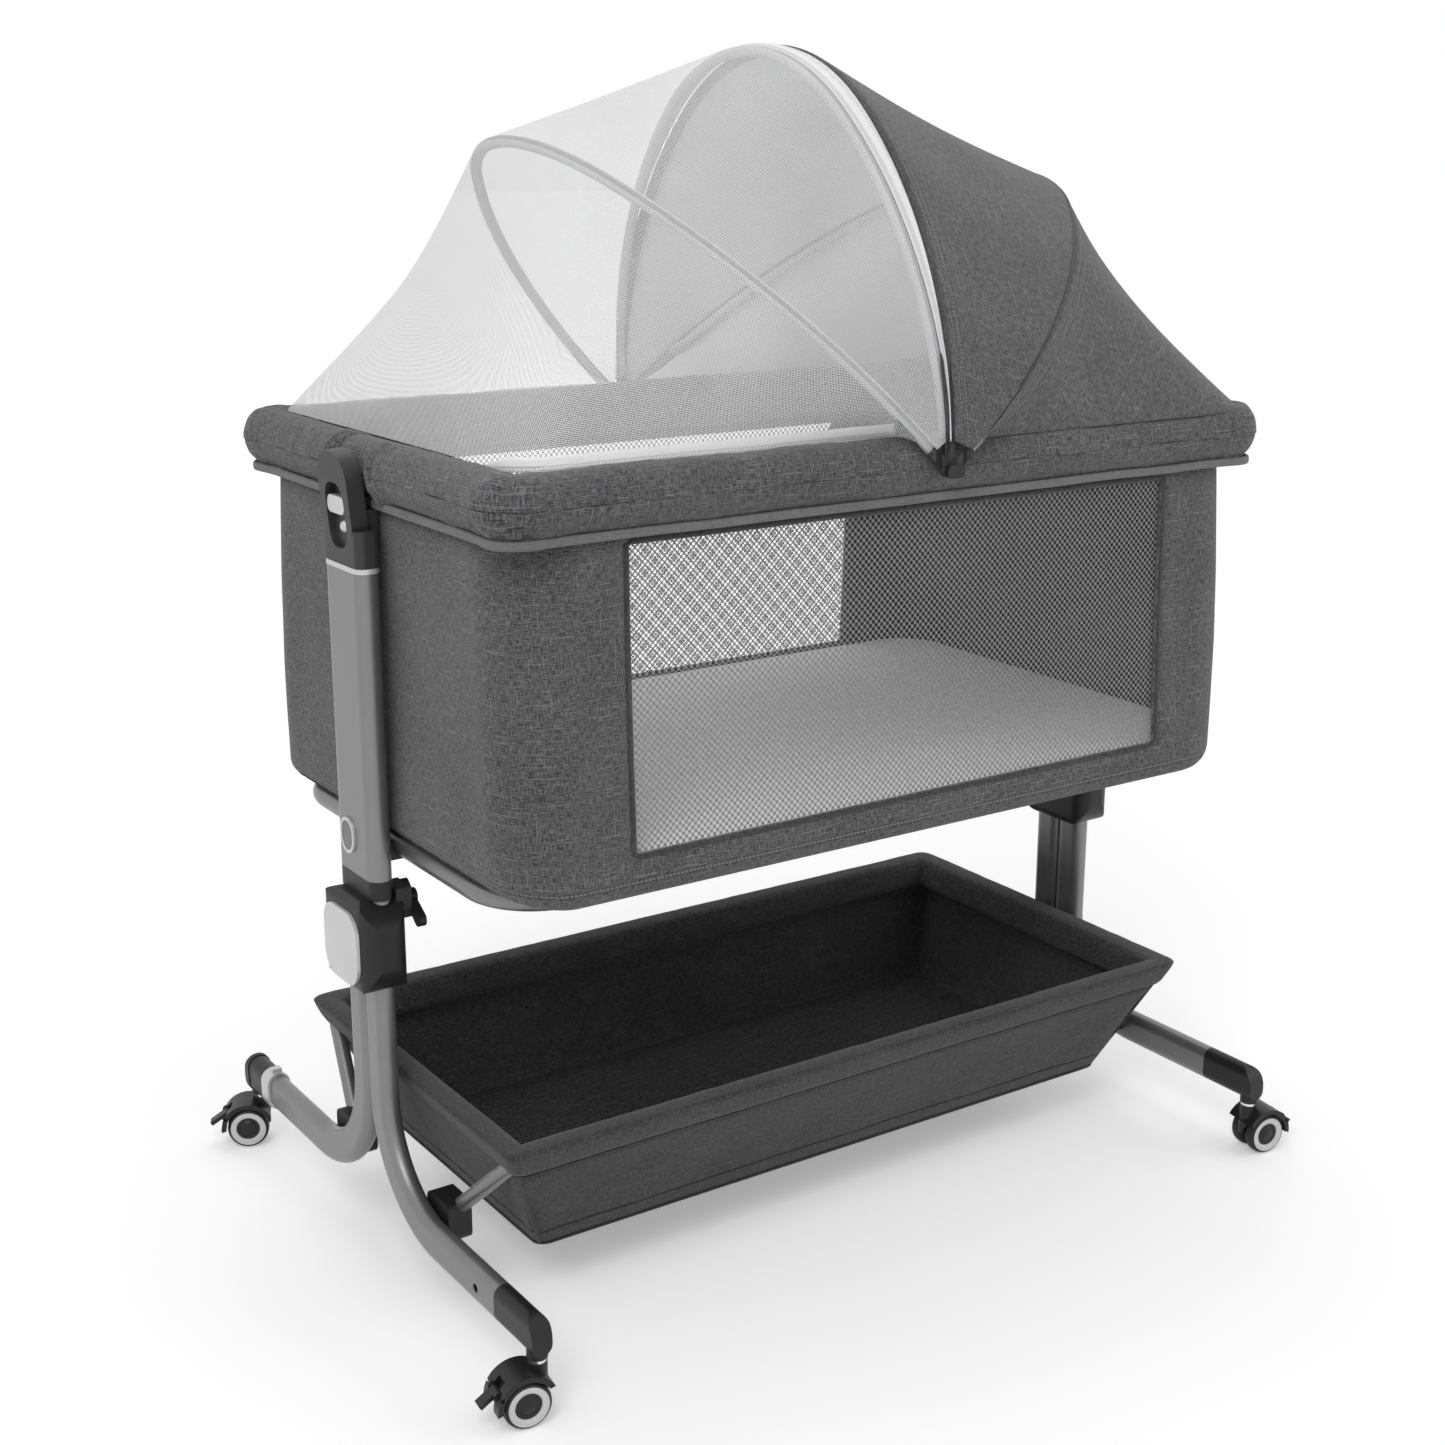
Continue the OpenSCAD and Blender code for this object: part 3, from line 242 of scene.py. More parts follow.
def woven_group():
    """Plain weave with slubs and heather: threads along both directions of a cloth laid out in metres."""
    made = group("woven_cloth", [("Vector", "NodeSocketVector"), ("Pitch", "NodeSocketFloat"),
        ("Dark", "NodeSocketColor"), ("Pale", "NodeSocketColor")],
        [("Color", "NodeSocketColor"), ("Height", "NodeSocketFloat"), ("Roughness", "NodeSocketFloat")])
    if made:
        tree, got, out = made
        flat = got["Vector"]
        along = noise_of(tree, stretched(tree, flat, (150.0, 1500.0, 1.0)), 1.0, 2.0)
        across = noise_of(tree, stretched(tree, flat, (1500.0, 150.0, 1.0)), 1.0, 2.0)
        heather = maths(tree, "MULTIPLY", maths(tree, "ADD", along, across), 0.5)
        speck = noise_of(tree, flat, 900.0, 1.0, 0.7)
        cloud = noise_of(tree, flat, 9.0, 3.0)
        slub_a = spread(tree, noise_of(tree, stretched(tree, flat, (24.0, 760.0, 1.0)), 1.0, 1.0), 0.64, 0.70)
        slub_b = spread(tree, noise_of(tree, stretched(tree, flat, (760.0, 30.0, 1.0)), 1.0, 1.0), 0.66, 0.72)
        slub = maths(tree, "MAXIMUM", slub_a, slub_b)
        tone = maths(tree, "ADD", spread(tree, heather, 0.38, 0.62, -0.15, 0.85),
            spread(tree, speck, 0.3, 0.7, -0.15, 0.22))
        tone = maths(tree, "ADD", tone, spread(tree, cloud, 0.3, 0.7, -0.09, 0.09))
        tone = maths(tree, "ADD", tone, maths(tree, "MULTIPLY", slub, 0.75))
        put(tree, out, "Color", blend_colours(tree, tone, got["Dark"], got["Pale"]))
        parts = add(tree, "ShaderNodeSeparateXYZ")
        put(tree, parts, 0, flat)
        turn = maths(tree, "DIVIDE", math.tau, got["Pitch"])
        waves = [maths(tree, "SINE", maths(tree, "MULTIPLY", parts.outputs[axis], turn)) for axis in (0, 1)]
        weave = maths(tree, "MULTIPLY", waves[0], waves[1])
        height = maths(tree, "ADD", maths(tree, "MULTIPLY", weave, 0.25), heather)
        put(tree, out, "Height", maths(tree, "ADD", height, maths(tree, "MULTIPLY", slub, 0.6)))
        put(tree, out, "Roughness", spread(tree, heather, 0.3, 0.7, 0.96, 0.84))
    return bpy.data.node_groups["woven_cloth"]


def stitch_group():
    """A row of stitches: dashes of one length at one height of a cloth laid out in metres, and a groove mask that the
    materials use for bump and painted shade.
    """
    made = group("stitch_row", [("Vector", "NodeSocketVector"), ("Height", "NodeSocketFloat"),
        ("Pitch", "NodeSocketFloat")], [("Mask", "NodeSocketFloat"), ("Groove", "NodeSocketFloat")])
    if made:
        tree, got, out = made
        parts = add(tree, "ShaderNodeSeparateXYZ")
        put(tree, parts, 0, got["Vector"])
        away = maths(tree, "ABSOLUTE", maths(tree, "SUBTRACT", parts.outputs[1], got["Height"]))
        line = spread(tree, away, 0.0005, 0.0009, 1.0, 0.0)
        dash = maths(tree, "FRACT", maths(tree, "DIVIDE", parts.outputs[0], got["Pitch"]))
        put(tree, out, "Mask", maths(tree, "MULTIPLY", line, maths(tree, "GREATER_THAN", dash, 0.3)))
        put(tree, out, "Groove", spread(tree, away, 0.0008, 0.0024, 1.0, 0.0))
    return bpy.data.node_groups["stitch_row"]


def grain_group():
    """Fine grain of a moulded or painted surface, with faint rubbed patches."""
    made = group("fine_grain", [("Vector", "NodeSocketVector"), ("Scale", "NodeSocketFloat"),
        ("Color", "NodeSocketColor"), ("Rough", "NodeSocketFloat")],
        [("Color", "NodeSocketColor"), ("Roughness", "NodeSocketFloat"), ("Height", "NodeSocketFloat")])
    if made:
        tree, got, out = made
        fine = noise_of(tree, got["Vector"], got["Scale"], 2.0, 0.6)
        patch = noise_of(tree, got["Vector"], 14.0, 4.0, 0.6)
        lift = add(tree, "ShaderNodeHueSaturation")
        put(tree, lift, "Color", got["Color"])
        put(tree, lift, "Value", maths(tree, "ADD", spread(tree, patch, 0.3, 0.7, 0.93, 1.07),
            spread(tree, fine, 0.3, 0.7, -0.05, 0.05)))
        put(tree, out, "Color", lift.outputs[0])
        put(tree, out, "Roughness", maths(tree, "ADD", got["Rough"], spread(tree, patch, 0.3, 0.7, -0.05, 0.06)))
        put(tree, out, "Height", fine)
    return bpy.data.node_groups["fine_grain"]


def lattice_group():
    """Round holes on a slanting lattice: 1 on a thread, 0 in a hole."""
    made = group("hole_lattice", [("Vector", "NodeSocketVector"), ("Pitch", "NodeSocketFloat"),
        ("Hole", "NodeSocketFloat")], [("Mask", "NodeSocketFloat"), ("Height", "NodeSocketFloat")])
    if made:
        tree, got, out = made
        scaled = add(tree, "ShaderNodeVectorMath", operation="DIVIDE")
        put(tree, scaled, 0, got["Vector"])
        put(tree, scaled, 1, got["Pitch"])
        turned = add(tree, "ShaderNodeMapping")
        put(tree, turned, "Vector", scaled.outputs[0])
        put(tree, turned, "Rotation", (0.0, 0.0, math.radians(45)))
        cells = add(tree, "ShaderNodeTexVoronoi", voronoi_dimensions="2D")
        put(tree, cells, "Vector", turned.outputs[0])
        put(tree, cells, "Scale", 1.0)
        put(tree, cells, "Randomness", 0.0)
        away = cells.outputs["Distance"]
        put(tree, out, "Mask", maths(tree, "GREATER_THAN", away, got["Hole"]))
        put(tree, out, "Height", away)
    return bpy.data.node_groups["hole_lattice"]


def use(tree, made, **values):
    """Places a group in a material and sets or links its inputs."""
    node = tree.nodes.new("ShaderNodeGroup")
    node.node_tree = made
    for key, value in values.items():
        put(tree, node, key, value)
    return node.outputs


def material(name):
    """A material with its Principled shader, or None for the tree where it is there already."""
    if name in bpy.data.materials:
        return bpy.data.materials[name], None, None
    made = bpy.data.materials.new(name)
    made.use_nodes = True
    return made, made.node_tree, made.node_tree.nodes["Principled BSDF"]


def bump(tree, shader, height, strength, distance):
    node = add(tree, "ShaderNodeBump")
    put(tree, node, "Height", height)
    put(tree, node, "Strength", strength)
    put(tree, node, "Distance", distance)
    put(tree, shader, "Normal", node.outputs[0])


def cloth_vector(tree):
    return add(tree, "ShaderNodeUVMap", uv_map="cloth").outputs[0]


def linen(name="linen", dark="linen_dark", pale="linen_pale", stitches=()):
    """Heathered linen with rows of stitches at the given heights of the cloth, with painted shade darkening the
    groove along each row.
    """
    made, tree, shader = material(name)
    if tree:
        flat = cloth_vector(tree)
        got = use(tree, woven_group(), Vector=flat, Pitch=sizes().weave_pitch, Dark=tint(dark), Pale=tint(pale))
        shade, height = got["Color"], got["Height"]
        for row in stitches:
            sewn = use(tree, stitch_group(), Vector=flat, Height=row, Pitch=sizes().stitch)
            # painted shade: the groove along a row of stitches is darkened towards black, standing in for the shade
            # in the crease
            painted_groove_shade = maths(tree, "MULTIPLY", sewn["Groove"], 0.45)
            shade = blend_colours(tree, painted_groove_shade, shade, (0.008, 0.008, 0.008, 1.0))
            shade = blend_colours(tree, sewn["Mask"], shade, tint(pale))
            height = maths(tree, "SUBTRACT", height, maths(tree, "MULTIPLY", sewn["Groove"], 1.5))
        put(tree, shader, "Base Color", shade)
        put(tree, shader, "Roughness", got["Roughness"])
        shader.inputs["Specular IOR Level"].default_value = 0.25
        shader.inputs["Sheen Weight"].default_value = 0.18
        shader.inputs["Sheen Roughness"].default_value = 0.6
        bump(tree, shader, height, 0.5, 0.0007)
    return made


def see_through(name, shade, hole, pitch, cover_back, rough=0.8, sheen=0.2):
    """Net or mesh: threads on a lattice, with holes that let the light by."""
    made, tree, shader = material(name)
    if tree:
        flat = cloth_vector(tree)
        got = use(tree, lattice_group(), Vector=flat, Pitch=pitch, Hole=hole)
        drift = noise_of(tree, flat, 7.0, 3.0)
        put(tree, shader, "Base Color", blend_colours(tree, spread(tree, drift, 0.3, 0.7),
            [c * 0.92 for c in tint(shade)[:3]] + [1.0], tint(shade)))
        cover = maths(tree, "MAXIMUM", got["Mask"],
            maths(tree, "ADD", cover_back, spread(tree, drift, 0.3, 0.7, -0.03, 0.03)))
        shadow = add(tree, "ShaderNodeLightPath").outputs["Is Shadow Ray"]
        put(tree, shader, "Alpha", maths(tree, "MULTIPLY", cover,
            maths(tree, "SUBTRACT", 1.0, maths(tree, "MULTIPLY", shadow, 0.75))))
        shader.inputs["Roughness"].default_value = rough
        shader.inputs["Sheen Weight"].default_value = sheen
        bump(tree, shader, got["Height"], 0.3, 0.0004)
        made.surface_render_method = "DITHERED"
    return made


def moulded(name, shade, rough, scale=900.0, strength=0.12, metal=0.0, coat=0.0):
    """Plastic or painted metal with a fine grain, in the piece's own coordinates."""
    made, tree, shader = material(name)
    if tree:
        here = add(tree, "ShaderNodeTexCoord").outputs["Object"]
        got = use(tree, grain_group(), Vector=here, Scale=scale, Color=tint(shade), Rough=rough)
        put(tree, shader, "Base Color", got["Color"])
        put(tree, shader, "Roughness", got["Roughness"])
        shader.inputs["Metallic"].default_value = metal
        shader.inputs["Coat Weight"].default_value = coat
        shader.inputs["Coat Roughness"].default_value = 0.25
        shader.inputs["Specular IOR Level"].default_value = 0.35
        bump(tree, shader, got["Height"], strength, 0.0004)
    return made


# ---------------------------------------------------------------- mesh work


def smooth_step(value):
    value = min(1.0, max(0.0, value))
    return value * value * (3 - 2 * value)


def bell(value, width):
    return math.exp(-((value / width) ** 2))


def grid_piece(name, cols, rows, place, chart, wrap_u=False, wrap_v=False, drop=None):
    """A sheet of quads: place(u, v) gives a point and chart(u, v) its spot on the flat cloth, in metres."""
    bm = bmesh.new()
    layer = bm.loops.layers.uv.new("cloth")
    bmesh.ops.create_grid(bm, x_segments=cols, y_segments=rows, size=0.5)
    spots = {vert: (min(1.0, max(0.0, vert.co.x + 0.5)), min(1.0, max(0.0, vert.co.y + 0.5))) for vert in bm.verts}
    for face in bm.faces:
        for loop in face.loops:
            loop[layer].uv = chart(*spots[loop.vert])
    if drop:
        gone = [face for face in bm.faces
            if drop(*[sum(spots[v][k] for v in face.verts) / len(face.verts) for k in (0, 1)])]
        bmesh.ops.delete(bm, geom=gone, context="FACES")
    for vert, spot in spots.items():
        if vert.is_valid:
            vert.co = place(*spot)
    if wrap_u or wrap_v:
        bmesh.ops.remove_doubles(bm, verts=bm.verts, dist=1e-6)
    return finish_mesh(name, bm)


def finish_mesh(name, bm, smooth=True):
    """Turns a bmesh into an object at the origin, with smooth faces."""
    for face in bm.faces:
        face.smooth = smooth
    mesh = bpy.data.meshes.new(name)
    bm.to_mesh(mesh)
    bm.free()
    piece = bpy.data.objects.new(name, mesh)
    bpy.context.scene.collection.objects.link(piece)
    return piece


def face_out(piece):
    """Turns a closed piece's faces outwards."""
    bm = bmesh.new()
    bm.from_mesh(piece.data)
    bmesh.ops.recalc_face_normals(bm, faces=bm.faces)
    bm.to_mesh(piece.data)
    bm.free()
    return piece


def face_towards(piece, outward):
    """Flips a sheet's faces where its middle face looks away from outward(point)."""
    mesh = piece.data
    score = sum(poly.normal.dot(outward(poly.center)) * poly.area for poly in mesh.polygons)
    if score < 0:
        mesh.flip_normals()
    return piece


def thicken(piece, thickness, offset=-1.0, lined=False):
    """Gives a sheet its thickness and keeps the result; a lined sheet's inner face takes its second material."""
    shell = piece.modifiers.new("thickness", "SOLIDIFY")
    shell.thickness, shell.offset = thickness, offset
    shell.material_offset = 1 if lined else 0
    if lined:
        piece.data.materials.append(None)
        piece.data.materials.append(None)
    return bake(piece)


def bake(piece):
    graph = bpy.context.evaluated_depsgraph_get()
    made = bpy.data.meshes.new_from_object(piece.evaluated_get(graph))
    piece.modifiers.clear()
    piece.data = made
    return piece


def finish_piece(piece, body, slot, *materials):
    held = piece.data.materials
    for index, made in enumerate(materials):
        if index < len(held):
            held[index] = made
        else:
            held.append(made)
    if body:
        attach(piece, body)
    return piece


def ring_length(l, w, r):
    return 4 * (l - r) + 4 * (w - r) + math.tau * r


def ring_at(s, l, w, r):
    """Point and outward direction on a rounded rectangle, at a length from the middle of its front."""
    s %= ring_length(l, w, r)
    turn = math.pi * r / 2
    legs = ((l - r, (0, -w), 0), (2 * (w - r), (l, -w + r), 90), (2 * (l - r), (l - r, w), 180),
        (2 * (w - r), (-l, w - r), 270), (l - r, (-l + r, -w), 360))
    for index, (run, start, heading) in enumerate(legs):
        a = math.radians(heading)
        ahead = Vector((math.cos(a), math.sin(a)))
        if s <= run or index == 4:
            return Vector(start) + ahead * s, Vector((ahead.y, -ahead.x))
        s -= run
        if s <= turn:
            b = a - math.pi / 2 + s / r
            middle = Vector(start) + ahead * run - Vector((ahead.y, -ahead.x)) * r
            out = Vector((math.cos(b), math.sin(b)))
            return middle + out * r, out
        s -= turn


def ring_corners(l, w, r):
    """Lengths along a rounded rectangle to its corners' middles: front right, rear right, rear left, front left."""
    turn = math.pi * r / 2
    first = l - r + turn / 2
    second = first + turn + 2 * (w - r)
    third = second + turn + 2 * (l - r)
    return first, second, third, third + turn + 2 * (w - r)


def soft(point, scale, seed=0.0):
    """Smooth, repeatable bumps from -1 to 1."""
    return noise.noise(Vector(point) * scale + Vector((seed, seed * 1.7, seed * 0.6)))


# ---------------------------------------------------------------- canopy curves


BOW_HALF = {node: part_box(node)[1].y - STRAP_T / 2 for node in BOWS}


def bow_sizes(node):
    """Half width, reach and angle of a bow."""
    angle, reach = BOWS[node][1:]
    return BOW_HALF[node], reach, math.radians(angle)


def bow_profile(w, reach):
    side = (reach - EYE_RISE - (1 - math.sin(SIDE_TURN)) * w / math.cos(SIDE_TURN)) / (
        math.sin(SIDE_TURN) - (1 - math.sin(SIDE_TURN)) * (1 - math.cos(SIDE_TURN)) / math.cos(SIDE_TURN))
    top = (w - side * (1 - math.cos(SIDE_TURN))) / math.cos(SIDE_TURN)
    return side, top, reach - top, side * SIDE_TURN + top * (math.pi / 2 - SIDE_TURN)


def bow_at(w, reach, s):
    """Half width, height above the pivot and outward direction of a bow at a length along it."""
    side, top, middle = bow_profile(w, reach)[:3]
    if s < side * SIDE_TURN:
        a = s / side
        return w - side + side * math.cos(a), EYE_RISE + side * math.sin(a), a
    a = SIDE_TURN + (s - side * SIDE_TURN) / top
    return top * math.cos(a), middle + top * math.sin(a), a


def bow_point(node, u, start, lift=0.0, aside=0.0):
    """Point beside a bow: u runs from the front pivot, 0, over the crown to the rear pivot, 1."""
    w, reach, angle = bow_sizes(node)
    half = bow_profile(w, reach)[3]
    hand = -1 if u <= 0.5 else 1
    k = 2 * min(u, 1 - u)
    out, up, tilt = bow_at(w, reach, start + (half - start) * k)
    out, up = out + lift * math.cos(tilt), up + lift * math.sin(tilt)
    return Vector((PIVOT_X + up * math.sin(angle) + aside * math.cos(angle), hand * out,
        RAIL_Z + up * math.cos(angle) - aside * math.sin(angle)))


def rim_seam(side, u, seam, start, lift):
    """Point on the padded rim: u runs from the front pivot round one end to the rear pivot."""
    a = math.radians(seam)
    out = (PAD_R + lift) * math.sin(a)
    l, w, r = RAIL_L + out, RAIL_W + out, RAIL_BEND + out
    half = ring_length(l, w, r) / 2
    front = side * PIVOT_X + start
    s = front + (half - 2 * front) * u
    point = ring_at(s if side > 0 else -s, l, w, r)[0]
    return Vector((point.x, point.y, CROWN_Z + (PAD_R + lift) * math.cos(a)))


def sagged(first, second, v, sag, u):
    """Point between two edges, sunk towards the middle of the canopy."""
    point = first.lerp(second, v)
    inward = Vector((PIVOT_X * 0.4 + point.x * 0.35, point.y * 0.25, RAIL_Z)) - point
    depth = sag * math.sin(math.pi * v) * math.sqrt(math.sin(math.pi * min(1, max(0, u))))
    return point + inward.normalized() * depth


def outward_of(point):
    return Vector((point[0] - PIVOT_X, point[1], point[2] - RAIL_Z + 0.1))


# ---------------------------------------------------------------- sections and rings

COVER_BEND = 0.012


def marks(total, spots, reach, fine, wide):
    """Rising lengths from 0 to total, close together within reach of the spots."""
    found, s = [0.0], 0.0
    while s < total:
        near = min(min(abs(s - spot), total - abs(s - spot)) for spot in spots)
        s += fine if near < reach else min(wide, max(fine, near - reach))
        found.append(min(s, total))
    return found


def listed(values):
    """Turns a share from 0 to 1 into an entry of a list, with shares between two entries rounded."""
    last = len(values) - 1
    return lambda share: values[round(share * last)]


def ring_part(k, t, l, w, r):
    """Point and outward direction on one of a rounded rectangle's eight parts: even are sides, odd are corners."""
    a = math.radians(90 * (k // 2))
    ahead, out = Vector((math.cos(a), math.sin(a))), Vector((math.sin(a), -math.cos(a)))
    run, far = (l - r, w) if k // 2 % 2 == 0 else (w - r, l)
    if k % 2 == 0:
        return out * far + ahead * run * (2 * t - 1), out
    b = a - math.pi / 2 + t * math.pi / 2
    away = Vector((math.cos(b), math.sin(b)))
    return out * (far - r) + ahead * run + away * r, away


def rim_shape(s, a):
    """Point on the rim's cover, at a length along it and a turn round its section from its outer side."""
    total = ring_length(RAIL_L, RAIL_W, COVER_BEND)
    point, out = ring_at(s, RAIL_L, RAIL_W, COVER_BEND)
    c, q = math.cos(a), math.sin(a)
    high = (PAD_HI.z - PAD_LO.z) / 2
    side, rise = (math.copysign(abs(value) ** 0.88, value) for value in (c, q))
    side -= 0.26 * max(0.0, -q) ** 1.3 * max(0.0, c)
    puff = sizes().wrinkle * (soft((point.x, point.y, a * 0.02), 16) + 0.6
        * soft((point.x * 1.6, point.y * 1.6, a * 0.05), 55, 3.0))
    puff += 0.0011 * soft((s * 0.35, a * 0.04, 0.0), 90, 7.0) * bell(q + 0.2, 0.6)
    for corner in ring_corners(RAIL_L, RAIL_W, COVER_BEND):
        away = (s - corner + total / 2) % total - total / 2
        lean = 0.010 * max(0.0, -q) if corner > total * 0.8 else -0.010 * max(0.0, -q)
        seam = away - lean
        puff += 0.0030 * bell(away, 0.026) * max(0.0, 0.35 + 0.65 * c) - 0.0040 * bell(seam,
            0.0021) * (0.4 + 0.6 * max(c, 0.0))
        puff += 0.0014 * math.sin(away * 330 + 4 * q) * bell(abs(away) - 0.022, 0.014) * max(0.0, -q)
        puff += 0.0030 * bell(seam - math.copysign(0.014 - 0.012 * (q + 0.6), lean), 0.0034) * bell(q + 0.62,
            0.26) * max(0.0, c)
    if abs(point.x) > RAIL_L - 0.001:
        beside = abs(abs(point.y) - 0.041)
        puff += 0.0068 * bell(beside, 0.0085) * max(0.0, c) ** 0.6
        puff += 0.0016 * math.sin((abs(point.y) - 0.030) * 700) * bell(abs(point.y) - 0.040, 0.014) * max(0.0, c)
        if abs(point.y) < 0.033:
            puff = min(puff, -0.0006)
    return Vector((point.x + out.x * (side * PAD_R + c * puff), point.y + out.y * (side * PAD_R + c * puff),
        PAD_MID + rise * high + q * puff))


class DRESS_OT_rim(bpy.types.Operator):
    """Covers the padded rim with linen, mitred at its corners, with flat piping below"""

    bl_idname = "dress.rim"
    bl_label = "Rim cover and piping"

    def execute(self, context):
        total = ring_length(RAIL_L, RAIL_W, COVER_BEND)
        corners = ring_corners(RAIL_L, RAIL_W, COVER_BEND)
        ends = [(corners[0] + corners[1]) / 2, (corners[2] + corners[3]) / 2]
        spots = marks(total, list(corners) + ends, 0.045, 0.0016, 0.007)
        along = listed(spots)
        cover = grid_piece("rim_cover", len(spots) - 1, 44, lambda u, v: rim_shape(along(u), v * math.tau),
            lambda u, v: (along(u), v * 0.154), wrap_u=True, wrap_v=True)
        face_out(cover)
        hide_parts("rim_pad")
        finish_piece(cover, "crib", "charcoal_linen", linen())

        tall = sizes().piping_height / 2
        l, w, r = RAIL_L + 0.0130, RAIL_W + 0.0130, COVER_BEND + 0.0130
        path = marks(ring_length(l, w, r), ring_corners(l, w, r), 0.04, 0.004, 0.02)

        def band(u, v):
            s, a = listed(path)(u), v * math.tau
            point, out = ring_at(s, l, w, r)
            bulge = 0.0050 * max(bell((s - spot + path[-1] / 2) % path[-1] - path[-1] / 2, 0.03)
                for spot in ring_corners(l, w, r))
            side = 0.0017 * math.copysign(abs(math.cos(a)) ** 0.6,
                math.cos(a)) + bulge + 0.0004 * soft((point.x, point.y, 0), 40)
            return Vector((point.x + out.x * side, point.y + out.y * side,
                PAD_LO.z - 0.0006 + tall * math.copysign(abs(math.sin(a)) ** 0.7, math.sin(a)) + 0.0008
                * soft((point.x, point.y, 2), 12)))

        piping = grid_piece("rim_piping", len(path) - 1, 14, band, lambda u, v: (u * path[-1], v * 0.022),
            wrap_u=True, wrap_v=True)
        face_out(piping)
        finish_piece(piping, "crib", "charcoal_linen", linen("piping_cloth", "linen_pale", "piping"))
        return {"FINISHED"}


# ---------------------------------------------------------------- walls

WINDOW_L, WINDOW_LOW, WINDOW_HIGH = MESH_HI.x - 0.008, MESH_LO.z + 0.007, MESH_HI.z - 0.007
WALL_TOP_W = RAIL_W + 0.006
WALL_THICKNESS = 0.0025
HEM_DROP = 0.0085
STRAPS = (-0.290, 0.260)


def wall_at(k, t, z, inset=0.0):
    """Point on the crib's fabric wall, drawn in between its corners."""
    share = (z - SHELL_LO.z) / (SHELL_HI.z - SHELL_LO.z)
    w = SHELL_HI.y + (WALL_TOP_W - SHELL_HI.y) * min(1, max(0, share))
    point, out = ring_part(k, t, SHELL_HI.x - inset, w - inset, max(0.004, SHELL_BEND - inset))
    waist = math.sin(math.pi * min(1, max(0, share)))
    if k % 2 == 0:
        move = -sizes().wall_draw * waist * math.sin(math.pi * t) ** 0.6
    else:
        move = 0.0036 * waist * math.sin(math.pi * t) + 0.0022 * (1 - min(1, max(0, share))) * math.sin(math.pi * t)
    move += 0.0009 * soft((point.x, point.y, z * 0.7), 22) * waist
    return Vector((point.x + out.x * move, point.y + out.y * move, z)), out


def hem_drop(k, t):
    """How far the wall's foot hangs below the end walls: all of it front and rear, blended at the corners."""
    return HEM_DROP * smooth_step({0: 1.0, 4: 1.0, 1: 1 - t, 5: 1 - t, 3: t, 7: t}.get(k, 0.0))


def wall_columns():
    l, r = SHELL_HI.x, SHELL_BEND
    edge = (WINDOW_L + (l - r)) / (2 * (l - r))
    side = [(1 - edge) * i / 3 for i in range(3)] + [1 - edge + (2 * edge - 1) * i / 64
        for i in range(65)] + [edge + (1 - edge) * i / 3 for i in range(1, 3)]
    found = []
    for k in range(8):
        steps = side if k % 4 == 0 else [i / 36 for i in range(36)] if k % 2 == 0 else [i / 16 for i in range(16)]
        found += [(k, t) for t in steps]
    return found + [(8, 0.0)]


def wall_rows():
    """Heights and insets of the wall from its top to the turned-under hem."""
    top, low, turn = PAD_LO.z + 0.004, SHELL_LO.z, 0.015
    rows = [(top, 0.0)] + [(WINDOW_HIGH + (WINDOW_LOW - WINDOW_HIGH) * i / 26, 0.0) for i in range(27)]
    rows += [(WINDOW_LOW + (low + turn - WINDOW_LOW) * i / 3, 0.0) for i in range(1, 4)]
    rows += [(low + turn * (1 - math.sin(a)), turn * (1 - math.cos(a)))
        for a in (math.radians(18 * i) for i in range(1, 6))]
    return rows + [(low + 0.0005, 0.045), (low + 0.0005, 0.09)]


